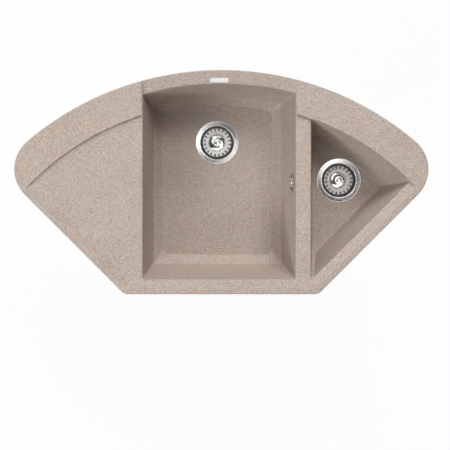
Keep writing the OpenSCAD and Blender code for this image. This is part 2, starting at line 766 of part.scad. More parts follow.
port_turn = atan2(over_y - main_drain.y, hose_x - main_drain.x);
module main_flange_gasket() { translate(main_drain) flange_gasket(); }
module main_strainer_cup() { translate(main_drain) strainer_cup(); }
module main_clamp_screw() { translate(main_drain) clamp_screw(); }
module main_lower_gasket() { translate(main_drain) lower_gasket(); }
module main_waste_body() { translate(main_drain) rotate([0, 0, port_turn]) waste_body(true); }
module main_brass_insert() { translate(main_drain) rotate([0, 0, port_turn]) brass_insert(); }
module main_basket() { translate(main_drain) basket(); }
module main_knob() { translate(main_drain) knob(); }
module main_basket_seal() { translate(main_drain) basket_seal(); }
module main_basket_nut() { translate(main_drain) basket_nut(); }
module small_flange_gasket() { translate(small_drain) flange_gasket(); }
module small_strainer_cup() { translate(small_drain) strainer_cup(); }
module small_clamp_screw() { translate(small_drain) clamp_screw(); }
module small_lower_gasket() { translate(small_drain) lower_gasket(); }
module small_waste_body() { translate(small_drain) waste_body(false); }
module small_brass_insert() { translate(small_drain) brass_insert(); }
module small_basket() { translate(small_drain) basket(); }
module small_knob() { translate(small_drain) knob(); }
module small_basket_seal() { translate(small_drain) basket_seal(); }
module small_basket_nut() { translate(small_drain) basket_nut(); }

// The overflow

// The plane of the main bowl's right wall at the overflow: z points into the bowl, x up the wall
module at_overflow() {
  translate([over_x, over_y, level - over_depth]) rotate([0, wall_angle - 90, 0]) children();
}

module stadium(l, w, h) {
  for (y = [-1, 1]) translate([0, y * (l - w) / 2, 0]) cylinder(r = w / 2, h = h);
  translate([-w / 2, -(l - w) / 2, 0]) cube([w, l - w, h]);
}

// The rosette: a shallow dome with two crescent mouths and a row of small holes
cover_t = 1.4;
cover_rise = 2.6;
module overflow_cover() {
  slot_in = cover_r * 0.6;
  slot_out = cover_r * 0.84;
  color(chrome) at_overflow() difference() {
    rotate_extrude() polygon([[0, cover_rise - cover_t], [cover_r - 4, cover_rise - cover_t],
      [cover_r - 2, seat_gap], [cover_r, seat_gap], [cover_r, 0.6], [cover_r - 3.4, cover_rise],
      [0, cover_rise]]);
    intersection() {
      difference() {
        cylinder(r = slot_out, h = 20, center = true);
        cylinder(r = slot_in, h = 22, center = true);
      }
      for (a = [1, -1]) rotate([0, 0, a * 90]) linear_extrude(24, center = true)
        polygon([[0, 0], [cover_r, -cover_r * 1.1], [cover_r, cover_r * 1.1]]);
    }
    for (y = [-10, -3.5, 3.5, 10]) translate([-10, y, 0])
      cylinder(r = 1.6, h = 12, center = true, $fn = 32);
    translate([0, 0, -3]) cylinder(r = 2.7, h = 12);
  }
}

over_screw_l = over_back - 2;
module overflow_screw() {
  color(chrome) at_overflow() difference() {
    union() {
      translate([0, 0, cover_rise]) cylinder(r1 = 4.6, r2 = 3.4, h = 2);
      translate([0, 0, -over_screw_l]) cylinder(r = 2.4, h = over_screw_l + cover_rise + eps);
    }
    translate([-6, -0.6, cover_rise + 1]) cube([12, 1.2, 3]);
  }
}

module overflow_gasket() {
  color(rubber) at_overflow() translate([0, 0, -over_seat - over_gasket_t]) difference() {
    stadium(over_seat_l - 2 * push, over_seat_h - 2 * push, over_gasket_t);
    translate([0, 0, -1]) stadium(over_hole_l, over_hole_h, over_gasket_t + 2);
  }
}

module overflow_housing() {
  t = 2.2;
  front = -over_seat - over_gasket_t;
  color(plastic) difference() {
    union() {
      at_overflow() translate([0, 0, front - housing_t])
        stadium(over_seat_l - 2 * push, over_seat_h - 2 * push, housing_t);
      translate([hose_x, over_y, hose_top - insert_l]) cylinder(r = spigot_r, h = insert_l + 12);
    }
    at_overflow() translate([0, 0, front - housing_t + t])
      stadium(over_hole_l + 2, over_hole_h + 2, housing_t);
    translate([hose_x, over_y, hose_top - insert_l - 1]) cylinder(r = spigot_r - 2, h = insert_l + 24);
    at_overflow() translate([0, 0, -over_back - 1]) cylinder(r = over_insert_r, h = t + 2);
  }
}

over_insert_r = 5;
module overflow_insert() {
  color(brass) at_overflow() translate([0, 0, -over_back]) difference() {
    cylinder(r = over_insert_r - 0.1, h = 8, $fn = 32);
    translate([0, 0, -1]) cylinder(r = 2.45, h = 10);
  }
}

// The ribbed hose, straight down from the housing, round a quarter bend and along to the waste's port
port_level = main_floor + port_z;
hose_run = norm([hose_x - main_drain.x, over_y - main_drain.y]);
hose_down = hose_top - port_level - hose_bend;
hose_along = hose_run - hose_bend - (funnel_r + plastic_t + 3 + push);
hose_l = hose_down + hose_bend * PI / 2 + hose_along;

// Place and direction at length s, in the upright plane through the port: [along, height, turn]
function hose_at(s) =
  s < hose_down ? [hose_run, hose_top - s, 0] :
  s < hose_down + hose_bend * PI / 2 ?
    let (a = (s - hose_down) / hose_bend * 180 / PI)
    [hose_run - hose_bend + hose_bend * cos(a), port_level + hose_bend - hose_bend * sin(a), a] :
  [hose_run - hose_bend - (s - hose_down - hose_bend * PI / 2), port_level, 90];
// A ring of eight points round the hose at length s
function hose_ring(s, r) =
  let (p = hose_at(s))
  [for (i = [0 : 7]) let (a = i * 45 + 22.5, u = r * cos(a), v = r * sin(a))
    [p.x + u * cos(p.z), v, p.y - u * sin(p.z)]];

module overflow_hose() {
  cuff = 12;
  ribs = floor((hose_l - 2 * cuff) / rib_pitch);
  pitch = (hose_l - 2 * cuff) / ribs;
  outer = concat([hose_ring(0, hose_root)],
    [for (i = [0 : ribs - 1]) let (s = cuff + i * pitch)
      each [hose_ring(s, hose_root), hose_ring(s + pitch / 2, hose_root + rib_rise)]],
    [hose_ring(hose_l - cuff, hose_root), hose_ring(hose_l, hose_root)]);
  bore = [for (i = [0 : 40]) hose_ring(hose_l * (1 - i / 40), hose_bore)];
  tube(concat(outer, bore), [main_drain.x, main_drain.y, 0], port_turn);
}

// A closed skin through rings that run out along the outside and back through the bore
module tube(rings, at, turn) {
  n = 8;
  m = len(rings);
  color(rubber) translate(at) rotate([0, 0, turn]) polyhedron([for (r = rings) each r],
    [for (j = [0 : m - 1]) for (i = [0 : n - 1])
      let (k = (i + 1) % n, a = j * n, b = ((j + 1) % m) * n)
      each [[a + i, a + k, b + k], [a + i, b + k, b + i]]]);
}

// Band clips round the hose's cuffs
module hose_clips() {
  color(steel) {
    translate([hose_x, over_y, hose_top - 10]) band_clip();
    translate([main_drain.x, main_drain.y, port_level]) rotate([0, 0, port_turn])
      translate([hose_run - hose_bend - hose_along + 2, 0, 0]) rotate([0, 90, 0]) band_clip();
  }
}

module band_clip() {
  r = hose_root + 0.1;
  difference() {
    union() {
      cylinder(r = r + 1, h = 8);
      translate([-4, r - 1, 0]) cube([8, 6.4, 8]);
    }
    translate([0, 0, -1]) cylinder(r = r, h = 10);
    translate([-1, r + 1.6, -1]) cube([2, 8, 10]);
    translate([0, r + 3.4, 4]) rotate([0, 90, 0]) cylinder(r = 1.6, h = 12, center = true, $fn = 32);
  }
  translate([-6, r + 3.4, 4]) rotate([0, 90, 0]) cylinder(r = 1.5, h = 12, $fn = 32);
}

// The pipes and the trap

// Union nut and washer at a socket's mouth: z points out of the socket, along the pipe
module union_nut(r) {
  inner = r + push + socket_wall + thread_gap;
  outer = inner + 4;
  back = nut_lead - nut_h;
  color(plastic) union() {
    rotate_extrude() polygon([[inner, back], [outer, back], [outer, nut_lead - nut_bevel],
      [outer - nut_bevel, nut_lead], [r + push, nut_lead], [r + push, nut_lead - nut_lip],
      [inner, nut_lead - nut_lip]]);
    for (i = [0 : grips - 1]) rotate([0, 0, (i + 0.5) * 360 / grips]) translate([outer, 0, back])
      cylinder(r = grip_r, h = nut_h - 2 * nut_bevel, $fn = 24);
  }
}

module union_washer(r) {
  color(rubber) rotate_extrude() polygon([[r + 0.05, 0], [r + push + 3, 0], [r + push + 3, 1.5],
    [r + 2, nut_lead - nut_lip], [r + 0.05, nut_lead - nut_lip]]);
}

socket_r = pipe_r + push + socket_wall;
tee_collar = 2;
main_mouth = main_floor + mouth_z;
small_mouth = small_floor + mouth_z;
branch_z = main_mouth - branch_drop;
trap_mouth = branch_z - socket_r - tee_collar - nut_lead - 2;
tee_end = trap_mouth - insert_l + push;
branch_turn = atan2(small_drain.y - main_drain.y, small_drain.x - main_drain.x);
pipe_run = norm([small_drain.x - main_drain.x, small_drain.y - main_drain.y]);

module at_main() { translate([main_drain.x, main_drain.y, 0]) children(); }
module at_small() { translate([small_drain.x, small_drain.y, 0]) children(); }
module at_branch() {
  at_main() translate([0, 0, branch_z]) rotate([0, 0, branch_turn]) rotate([0, 90, 0]) children();
}

module waste_tee() {
  top = main_mouth + insert_l - push;
  color(plastic) difference() {
    union() {
      at_main() translate([0, 0, tee_end]) cylinder(r = pipe_r, h = top - tee_end);
      at_branch() cylinder(r = socket_r, h = branch_l);
      at_main() translate([0, 0, branch_z - socket_r - tee_collar])
        cylinder(r = pipe_r + tee_collar, h = 2 * (socket_r + tee_collar));
    }
    at_main() translate([0, 0, tee_end - 1]) cylinder(r = pipe_r - pipe_t, h = top - tee_end + 2);
    at_branch() cylinder(r = pipe_r - pipe_t - 0.5, h = branch_l);
    at_branch() translate([0, 0, branch_l - insert_l]) cylinder(r = pipe_r + push, h = insert_l + 1);
  }
}

// Down from the small waste, round a bend and along to the tee's branch
module connecting_pipe() {
  reach = pipe_run - branch_l + insert_l - push - bend_r;
  color(plastic) at_small() rotate([0, 0, branch_turn + 180]) difference() {
    bent_pipe(pipe_r, 0, reach);
    bent_pipe(pipe_r - pipe_t, 1, reach);
  }
}

module bent_pipe(r, over, reach) {
  bend_z = branch_z + bend_r;
  translate([0, 0, bend_z]) cylinder(r = r, h = small_mouth + insert_l - push - bend_z + over);
  translate([bend_r, 0, bend_z]) rotate([90, 0, 0])
    rotate_extrude(angle = 90, start = 180) translate([bend_r, 0]) circle(r = r);
  translate([bend_r, 0, branch_z]) rotate([0, 90, 0]) cylinder(r = r, h = reach + over);
}

module under_main() { at_main() translate([0, 0, main_mouth]) mirror([0, 0, 1]) children(); }
module under_small() { at_small() translate([0, 0, small_mouth]) mirror([0, 0, 1]) children(); }

module main_outlet_nut() { under_main() union_nut(pipe_r); }
module main_outlet_washer() { under_main() union_washer(pipe_r); }
module small_outlet_nut() { under_small() union_nut(pipe_r); }
module small_outlet_washer() { under_small() union_washer(pipe_r); }
module branch_nut() { at_branch() translate([0, 0, branch_l]) union_nut(pipe_r); }
module branch_washer() { at_branch() translate([0, 0, branch_l]) union_washer(pipe_r); }
module trap_inlet_nut() { at_main() translate([0, 0, trap_mouth]) union_nut(pipe_r); }
module trap_inlet_washer() { at_main() translate([0, 0, trap_mouth]) union_washer(pipe_r); }

// The bottle trap: head with inlet socket, dip tube and outlet, and the cup that screws on from below
head_top = trap_mouth - insert_l - 4;
outlet_socket_r = outlet_r + push + socket_wall;
outlet_z = head_top - outlet_socket_r - 3;
collar_h = 18;
cup_grips = 18;
collar_up = 14;
head_end = outlet_z - outlet_socket_r - trap_gap - collar_up;
trap_h = head_top - head_end;
outlet_socket = trap_r + 30;
dip_end = head_end - cup_deep * 0.6;

module at_outlet() { at_main() translate([0, 0, outlet_z]) rotate([-90, 0, 0]) children(); }

module trap_head() {
  t = plastic_t;
  color(plastic) difference() {
    union() {
      difference() {
        union() {
          at_main() translate([0, 0, head_end]) cylinder(r = trap_r, h = trap_h - 4);
          at_main() translate([0, 0, head_top - 4]) cylinder(r1 = trap_r, r2 = trap_r - 6, h = 4);
          at_main() translate([0, 0, head_top - 1]) cylinder(r = socket_r, h = trap_mouth - head_top + 1);
          at_outlet() cylinder(r = outlet_socket_r, h = outlet_socket);
        }
        at_main() translate([0, 0, head_end - 1]) cylinder(r = trap_r - t, h = trap_h - t);
        at_outlet() cylinder(r = outlet_r - 2, h = outlet_socket + 1);
        at_outlet() translate([0, 0, outlet_socket - insert_l])
          cylinder(r = outlet_r + push, h = insert_l + 1);
      }
      at_main() translate([0, 0, dip_end]) cylinder(r = pipe_r, h = head_top - dip_end);
    }
    at_main() translate([0, 0, dip_end - 1]) cylinder(r = pipe_r - 2, h = head_top - dip_end + 6);
    at_main() translate([0, 0, trap_mouth - insert_l]) cylinder(r = pipe_r + push, h = insert_l + 1);
  }
}

module trap_cup() {
  t = plastic_t;
  inner = trap_r + thread_gap;
  color(plastic) at_main() translate([0, 0, head_end - cup_drop]) difference() {
    union() {
      rotate_extrude() polygon([[0, -cup_deep], [trap_r - 14, -cup_deep], [trap_r - 5, -cup_deep + 3],
        [trap_r - 1, -cup_deep + 10], [trap_r, -6], [inner + 4, -4], [inner + 4, collar_up],
        [0, collar_up]]);
      for (i = [0 : cup_grips - 1]) rotate([0, 0, (i + 0.5) * 360 / cup_grips])
        translate([inner + 4, 0, -3]) cylinder(r = grip_r, h = collar_h - 2, $fn = 24);
    }
    translate([0, 0, -cup_gasket_t]) cylinder(r = inner, h = collar_h + 2);
    rotate_extrude() polygon([[0, -cup_deep + t], [trap_r - 15, -cup_deep + t],
      [trap_r - 7, -cup_deep + t + 3], [trap_r - t - 1, -cup_deep + t + 9], [trap_r - t, -4],
      [trap_r - t, 0], [0, 0]]);
  }
}

cup_gasket_t = 2.5;
module trap_cup_gasket() {
  color(rubber) at_main() translate([0, 0, head_end - cup_drop - cup_gasket_t]) difference() {
    cylinder(r = trap_r - 0.2, h = cup_gasket_t);
    translate([0, 0, -1]) cylinder(r = trap_r - plastic_t + 0.2, h = cup_gasket_t + 2);
  }
}

module trap_outlet_nut() { at_outlet() translate([0, 0, outlet_socket]) union_nut(outlet_r); }
module trap_outlet_washer() { at_outlet() translate([0, 0, outlet_socket]) union_washer(outlet_r); }

module outlet_pipe() {
  mark = insert_l - push + nut_lead + 2;
  l = mark + 1.2 + outlet_l + 2;
  color(plastic) at_outlet() translate([0, 0, outlet_socket - insert_l + push]) rotate_extrude()
    polygon([[outlet_r - pipe_t, 0], [outlet_r, 0], [outlet_r, mark], [outlet_r - 0.4, mark],
      [outlet_r - 0.4, mark + 1.2], [outlet_r, mark + 1.2], [outlet_r, l - 2], [outlet_r - 0.9, l],
      [outlet_r - pipe_t, l]]);
}

sink_body();
badge_plate();
rim_seal();
fixing_clip_1();
fixing_clip_2();
fixing_clip_3();
fixing_clip_4();
fixing_clip_5();
fixing_clip_6();
fixing_clip_7();
fixing_clip_8();
clip_screws();
clip_dowels();
main_flange_gasket();
main_strainer_cup();
main_clamp_screw();
main_lower_gasket();
main_waste_body();
main_brass_insert();
main_basket();
main_knob();
main_basket_seal();
main_basket_nut();
small_flange_gasket();
small_strainer_cup();
small_clamp_screw();
small_lower_gasket();
small_waste_body();
small_brass_insert();
small_basket();
small_knob();
small_basket_seal();
small_basket_nut();
overflow_cover();
overflow_screw();
overflow_gasket();
overflow_housing();
overflow_insert();
overflow_hose();
hose_clips();
waste_tee();
connecting_pipe();
main_outlet_nut();
main_outlet_washer();
small_outlet_nut();
small_outlet_washer();
branch_nut();
branch_washer();
trap_inlet_nut();
trap_inlet_washer();
trap_head();
trap_cup();
trap_cup_gasket();
trap_outlet_nut();
trap_outlet_washer();
outlet_pipe();
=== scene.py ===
# %% [markdown]
# # A corner kitchen sink in speckled composite
#
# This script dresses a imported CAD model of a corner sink: one casting with a drainer, a main bowl
# and a small bowl, two basket strainers, an overflow, and the pipework and fixings below. The CAD
# solids come in as a fixed frame. Each step gives one kind of piece its finish, or swaps a plain
# solid for a fuller mesh. Lengths are in metres unless a name or note says millimetres, and +Z is
# up out of the worktop.

# %% Load the frame
import json
import math

import bmesh
import bpy
from mathutils import Matrix, Vector

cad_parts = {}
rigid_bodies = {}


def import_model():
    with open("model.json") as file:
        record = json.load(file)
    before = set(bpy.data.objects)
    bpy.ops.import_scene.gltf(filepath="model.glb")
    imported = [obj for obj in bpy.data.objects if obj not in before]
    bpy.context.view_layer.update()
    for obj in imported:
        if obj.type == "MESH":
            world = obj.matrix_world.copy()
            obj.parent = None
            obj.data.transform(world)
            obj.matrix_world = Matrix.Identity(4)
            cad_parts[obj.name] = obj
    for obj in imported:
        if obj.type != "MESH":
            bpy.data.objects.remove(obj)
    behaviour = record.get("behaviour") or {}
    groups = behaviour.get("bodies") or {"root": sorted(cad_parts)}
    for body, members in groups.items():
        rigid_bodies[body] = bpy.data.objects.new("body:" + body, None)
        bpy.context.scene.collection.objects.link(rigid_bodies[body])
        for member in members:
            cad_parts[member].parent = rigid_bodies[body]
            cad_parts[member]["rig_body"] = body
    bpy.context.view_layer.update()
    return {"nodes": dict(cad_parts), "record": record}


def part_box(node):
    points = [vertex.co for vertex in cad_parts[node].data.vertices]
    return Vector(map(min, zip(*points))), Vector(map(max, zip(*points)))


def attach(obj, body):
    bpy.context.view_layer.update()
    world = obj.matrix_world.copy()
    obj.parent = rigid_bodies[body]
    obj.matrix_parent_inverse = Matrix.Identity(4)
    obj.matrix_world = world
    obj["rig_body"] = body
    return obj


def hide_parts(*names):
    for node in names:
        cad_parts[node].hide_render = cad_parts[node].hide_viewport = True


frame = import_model()
nodes = frame["nodes"]
MM = 0.001

# %% [markdown]
# ## The camera
#
# The photograph looks straight down on the sink from a good distance, so that the rim shows no
# perspective but the bowl floors come out a little smaller than they are. A long lens at 2.6 m
# gives that, with a view 1.15 m wide at the rim. The camera stands over the point that the bowl
# walls run towards, and the shift slides the picture back over the sink.

# %% The camera
HEIGHT = 2.6
RIM_TOP = 9 * MM
VIEW_WIDTH = 1.1505
VANISHING_POINT = (-0.085, 0.343)
SHIFT = (0.082, -0.144)
SENSOR = 36
camera = bpy.data.objects.new("camera", bpy.data.cameras.new("camera"))
bpy.context.scene.collection.objects.link(camera)
camera.location = (*VANISHING_POINT, RIM_TOP + HEIGHT)
camera.data.sensor_width = SENSOR
camera.data.lens = SENSOR * HEIGHT / VIEW_WIDTH
camera.data.shift_x, camera.data.shift_y = SHIFT
camera.data.clip_end = 20
bpy.context.scene.camera = camera
print("lens:", round(camera.data.lens, 1), "mm")

# %% [markdown]
# ## Small tools for node trees
#
# Every finish below is a node tree. Two short functions keep that readable: one adds a node with
# its settings, the other joins an output to an input.

# %% Node helpers
def add(tree, kind, inputs=None, **settings):
    """A node with its settings. inputs are values by a socket's name or, where names repeat, its place."""
    made = tree.nodes.new(kind)
    for name, value in settings.items():
        setattr(made, name, value)
    for name, value in (inputs or {}).items():
        made.inputs[name].default_value = value
    return made


def join(tree, source, output, target, socket):
    tree.links.new(source.outputs[output], target.inputs[socket])


def new_group(name, inputs, outputs):
    group = bpy.data.node_groups.new(name, "ShaderNodeTree")
    for label, kind, value in inputs:
        socket = group.interface.new_socket(label, in_out="INPUT", socket_type=kind)
        if value is not None:
            socket.default_value = value
    for label, kind in outputs:
        group.interface.new_socket(label, in_out="OUTPUT", socket_type=kind)
    return group, group.nodes.new("NodeGroupInput"), group.nodes.new("NodeGroupOutput")


def new_material(name, **values):
    """A Principled material whose values that are the same all over sit on the shader itself."""
    material = bpy.data.materials.new(name)
    material.use_nodes = True
    shader = material.node_tree.nodes["Principled BSDF"]
    for label, value in values.items():
        shader.inputs[label.replace("_", " ").title().replace("Ior", "IOR")].default_value = value
    return material, material.node_tree, shader


def use_group(tree, group, inputs):
    made = tree.nodes.new("ShaderNodeGroup")
    made.node_tree = group
    for name, value in inputs.items():
        made.inputs[name].default_value = value
    return made


def bump(tree, shader, source, output, strength, depth):
    """Lets a height between 0 and 1 tilt the shader's normal as if it stood up to depth metres high."""
    made = add(tree, "ShaderNodeBump", {"Strength": strength, "Distance": depth})
    join(tree, source, output, made, "Height")
    join(tree, made, "Normal", shader, "Normal")


def two_tones(tree, low, low_colour, high, high_colour):
    """A colour ramp with one colour up to low and another from high on."""
    ramp = add(tree, "ShaderNodeValToRGB")
    for element, place, colour in zip(ramp.color_ramp.elements, (low, high), (low_colour, high_colour)):
        element.position = place
        element.color = (*colour, 1)
    return ramp


# Places of the colour sockets on a Mix node, whose names repeat for each kind of value
MIX_A, MIX_B, MIX_RESULT = 6, 7, 2

# %% [markdown]
# ## The composite
#
# The sink is cast from resin that is filled with coloured quartz. Close up it is a beige ground
# packed with grains of about a millimetre, some dark brown, some rust, some cream. Layers of
# Voronoi cells make it: fine grains that only vary the ground, then sparse dark, rust, umber and
# light ones. Slow noises let warmer and cooler clouds drift over the faces, as a pour does. The
# grains also stand a few hundredths of a millimetre proud, which breaks up the sheen.

# %% The composite's grain
GRAINS_PER_METRE = 1300.0
# Share of cells below which each tone of the ground starts, and the tone
GROUND = [(0.0, (0.146, 0.108, 0.092)), (0.07, (0.291, 0.215, 0.184)), (0.18, (0.427, 0.352, 0.308)),
          (0.42, (0.485, 0.410, 0.365)), (0.68, (0.543, 0.462, 0.410)), (0.88, (0.679, 0.610, 0.556)),
          (0.965, (0.854, 0.810, 0.755))]


def composite_grain():
    group, inside, out = new_group(
        "composite_grain",
        [("Vector", "NodeSocketVector", None), ("Grains per Metre", "NodeSocketFloat", GRAINS_PER_METRE)],
        [("Color", "NodeSocketColor"), ("Roughness", "NodeSocketFloat"), ("Height", "NodeSocketFloat")])
    ground = add(group, "ShaderNodeTexVoronoi", {"Randomness": 1.0})
    join(group, inside, "Vector", ground, "Vector")
    join(group, inside, "Grains per Metre", ground, "Scale")
    tone = add(group, "ShaderNodeSeparateColor")
    join(group, ground, "Color", tone, "Color")
    ramp = add(group, "ShaderNodeValToRGB")
    ramp.color_ramp.interpolation = "CONSTANT"
    while len(ramp.color_ramp.elements) < len(GROUND):
        ramp.color_ramp.elements.new(0.5)
    for element, (place, colour) in zip(ramp.color_ramp.elements, GROUND):
        element.position = place
        element.color = (*colour, 1)
    join(group, tone, "Red", ramp, "Fac")

    def scatter(share, size, colour, under, chance):
        """Round grains in a share of larger cells over a colour. chance names what picks the cells."""
        scale = add(group, "ShaderNodeMath", {1: size}, operation="MULTIPLY")
        join(group, inside, "Grains per Metre", scale, 0)
        cells = add(group, "ShaderNodeTexVoronoi", {"Randomness": 0.9})
        join(group, inside, "Vector", cells, "Vector")
        join(group, scale, 0, cells, "Scale")
        split = add(group, "ShaderNodeSeparateColor")
        join(group, cells, "Color", split, "Color")
        chosen = add(group, "ShaderNodeMath", {1: share}, operation="LESS_THAN")
        join(group, split, chance, chosen, 0)
        edge = add(group, "ShaderNodeMapRange", {"From Min": 0.42, "From Max": 0.30})
        join(group, cells, "Distance", edge, "Value")
        mask = add(group, "ShaderNodeMath", operation="MULTIPLY")
        join(group, chosen, 0, mask, 0)
        join(group, edge, "Result", mask, 1)
        mix = add(group, "ShaderNodeMix", data_type="RGBA")
        mix.inputs[MIX_B].default_value = (*colour, 1)
        join(group, mask, 0, mix, 0)
        group.links.new(under, mix.inputs[MIX_A])
        return mix.outputs[MIX_RESULT], mask

    dark, dark_mask = scatter(0.17, 0.55, (0.115, 0.082, 0.070), ramp.outputs["Color"], "Green")
    rust, _ = scatter(0.075, 0.36, (0.440, 0.225, 0.130), dark, "Blue")
    umber, _ = scatter(0.018, 0.33, (0.150, 0.110, 0.095), rust, "Green")
    light, _ = scatter(0.07, 0.60, (0.860, 0.810, 0.750), umber, "Red")
    clouds = add(group, "ShaderNodeTexNoise", {"Scale": 45.0, "Detail": 2.0, "Roughness": 0.5})
    join(group, inside, "Vector", clouds, "Vector")
    warm = add(group, "ShaderNodeMapRange", {"From Min": 0.35, "From Max": 0.65})
    join(group, clouds, "Fac", warm, "Value")
    tint = add(group, "ShaderNodeMix", data_type="RGBA")
    tint.inputs[MIX_A].default_value = (0.970, 1.005, 1.020, 1)
    tint.inputs[MIX_B].default_value = (1.030, 0.995, 0.960, 1)
    join(group, warm, "Result", tint, 0)
    tinted = add(group, "ShaderNodeVectorMath", operation="MULTIPLY")
    group.links.new(light, tinted.inputs[0])
    group.links.new(tint.outputs[MIX_RESULT], tinted.inputs[1])
    drift = add(group, "ShaderNodeTexNoise", {"Scale": 9.0, "Detail": 3.0, "Roughness": 0.6})
    join(group, inside, "Vector", drift, "Vector")
    level = add(group, "ShaderNodeMapRange",
                {"From Min": 0.3, "From Max": 0.7, "To Min": 0.965, "To Max": 1.035})
    join(group, drift, "Fac", level, "Value")
    shade = add(group, "ShaderNodeVectorMath", operation="SCALE")
    join(group, tinted, "Vector", shade, 0)
    join(group, level, "Result", shade, "Scale")
    join(group, shade, "Vector", out, "Color")
    rough = add(group, "ShaderNodeMapRange", {"To Min": 0.50, "To Max": 0.68})
    join(group, tone, "Blue", rough, "Value")
    join(group, rough, "Result", out, "Roughness")
    high = add(group, "ShaderNodeMath", {1: 0.6}, operation="MULTIPLY_ADD")
    join(group, tone, "Green", high, 0)
    join(group, dark_mask, 0, high, 2)
    join(group, high, 0, out, "Height")
    return group


GRAIN = composite_grain()


def composite_material():
    material, tree, shader = new_material("stone_composite", specular_ior_level=0.42)
    place = add(tree, "ShaderNodeTexCoord")
    grain = use_group(tree, GRAIN, {"Grains per Metre": GRAINS_PER_METRE})
    join(tree, place, "Object", grain, "Vector")
    join(tree, grain, "Color", shader, "Base Color")
    join(tree, grain, "Roughness", shader, "Roughness")
    bump(tree, shader, grain, "Height", 0.35, 0.05 * MM)
    return material


STONE = composite_material()

# %% [markdown]
# ## Turned and polished metal
#
# The strainers are pressed from stainless sheet and then turned, so fine rings run round them and
# the light spreads out across the rings. The marks come from a noise that is stretched along the
# first UV direction, which runs round each piece, and the shader is anisotropic along it. The
# knobs and the overflow's cover are plated: nearly a mirror, with faint polishing waves. The
# basket's toothed ring gets a satin, nearly white and hardly metallic colour, a painted reflection
# of bright surroundings. The deep cup below it is a darker steel than the flange: painted shade
# for the shadow inside the cup.

# %% Metal finishes
def turned_marks():
    group, inside, out = new_group(
        "turned_marks",
        [("Vector", "NodeSocketVector", None), ("Rings per Metre", "NodeSocketFloat", 5000.0)],
        [("Height", "NodeSocketFloat"), ("Wear", "NodeSocketFloat")])
    stretch = add(group, "ShaderNodeCombineXYZ", {"X": 3.0, "Z": 1.0})
    join(group, inside, "Rings per Metre", stretch, "Y")
    scaled = add(group, "ShaderNodeVectorMath", operation="MULTIPLY")
    join(group, inside, "Vector", scaled, 0)
    join(group, stretch, "Vector", scaled, 1)
    marks = add(group, "ShaderNodeTexNoise", {"Scale": 1.0, "Detail": 4.0, "Roughness": 0.7})
    join(group, scaled, "Vector", marks, "Vector")
    join(group, marks, "Fac", out, "Height")
    wear = add(group, "ShaderNodeTexNoise", {"Scale": 6.0, "Detail": 5.0, "Roughness": 0.65})
    join(group, inside, "Vector", wear, "Vector")
    join(group, wear, "Fac", out, "Wear")
    return group


TURNED = turned_marks()


def ring_metal(name, colour, rough_from, rough_to, anisotropy, depth, rings, metallic=1.0):
    """Metal with marks round the piece, read from its own UV map."""
    material, tree, shader = new_material(name, base_color=(*colour, 1), metallic=metallic,
                                          anisotropic=anisotropy)
    place = add(tree, "ShaderNodeUVMap", uv_map="UVMap")
    marks = use_group(tree, TURNED, {"Rings per Metre": rings})
    join(tree, place, "UV", marks, "Vector")
    rough = add(tree, "ShaderNodeMapRange",
                {"From Min": 0.3, "From Max": 0.7, "To Min": rough_from, "To Max": rough_to})
    join(tree, marks, "Wear", rough, "Value")
    join(tree, rough, "Result", shader, "Roughness")
    bump(tree, shader, marks, "Height", 0.25, depth)
    if anisotropy:
        tangent = add(tree, "ShaderNodeTangent", direction_type="UV_MAP", uv_map="UVMap")
        join(tree, tangent, "Tangent", shader, "Tangent")
    return material


TURNED_STEEL = ring_metal("turned_steel", (0.70, 0.69, 0.68), 0.20, 0.28, 0.7, 0.006 * MM, 5000.0)
# Dark steel for the cups and the basket's rolled edge: painted shade for the shadow deep in the cup
CUP_PAINTED_SHADE = ring_metal("cup_painted_shade", (0.32, 0.32, 0.32), 0.30, 0.42, 0.4, 0.006 * MM, 2500.0)
DOME_STEEL = ring_metal("dome_steel", (0.88, 0.87, 0.86), 0.10, 0.16, 0.0, 0.01 * MM, 3000.0)
# Near-white, hardly metallic steel for the basket's toothed ring: a painted reflection of bright
# surroundings
RING_PAINTED_REFLECTION = ring_metal("ring_painted_reflection", (0.95, 0.95, 0.94), 0.34, 0.44, 0.0, 0.006 * MM, 3000.0,
                        metallic=0.05)
TARNISH = 0.86


def solid_metal(name, colour, rough_from, rough_to, scale, strength, depth):
    """Metal for pieces of any shape: marks and tarnish in the space of the object."""
    material, tree, shader = new_material(name, metallic=1.0)
    place = add(tree, "ShaderNodeTexCoord")
    cloud = add(tree, "ShaderNodeTexNoise", {"Scale": scale, "Detail": 6.0, "Roughness": 0.62})
    fine = add(tree, "ShaderNodeTexNoise", {"Scale": scale * 30, "Detail": 3.0, "Roughness": 0.6})
    for texture in (cloud, fine):
        join(tree, place, "Object", texture, "Vector")
    ramp = two_tones(tree, 0.36, [c * TARNISH for c in colour], 0.62, colour)
    join(tree, cloud, "Fac", ramp, "Fac")
    join(tree, ramp, "Color", shader, "Base Color")
    rough = add(tree, "ShaderNodeMapRange",
                {"From Min": 0.35, "From Max": 0.65, "To Min": rough_from, "To Max": rough_to})
    join(tree, cloud, "Fac", rough, "Value")
    join(tree, rough, "Result", shader, "Roughness")
    bump(tree, shader, fine, "Fac", strength, depth)
    return material


CHROME = solid_metal("chrome", (0.88, 0.89, 0.90), 0.05, 0.09, 60.0, 0.05, 0.01 * MM)
ZINC = solid_metal("zinc_steel", (0.66, 0.68, 0.70), 0.28, 0.48, 120.0, 0.25, 0.03 * MM)
STEEL = solid_metal("stainless", (0.72, 0.71, 0.69), 0.20, 0.34, 90.0, 0.15, 0.02 * MM)
BRASS = solid_metal("brass", (0.80, 0.60, 0.30), 0.22, 0.38, 110.0, 0.2, 0.02 * MM)

# %% [markdown]
# ## Plastics and rubber
#
# The wastes, trap, nuts and pipes are moulded in white polypropylene. Such plastic isn't quite
# white: it has a faint warm or grey drift, a fine texture from the mould and a soft shine with
# duller patches. Rubber is the same idea with a coarser skin and more dust. One group gives all of
# them their drift, skin and dull patches.

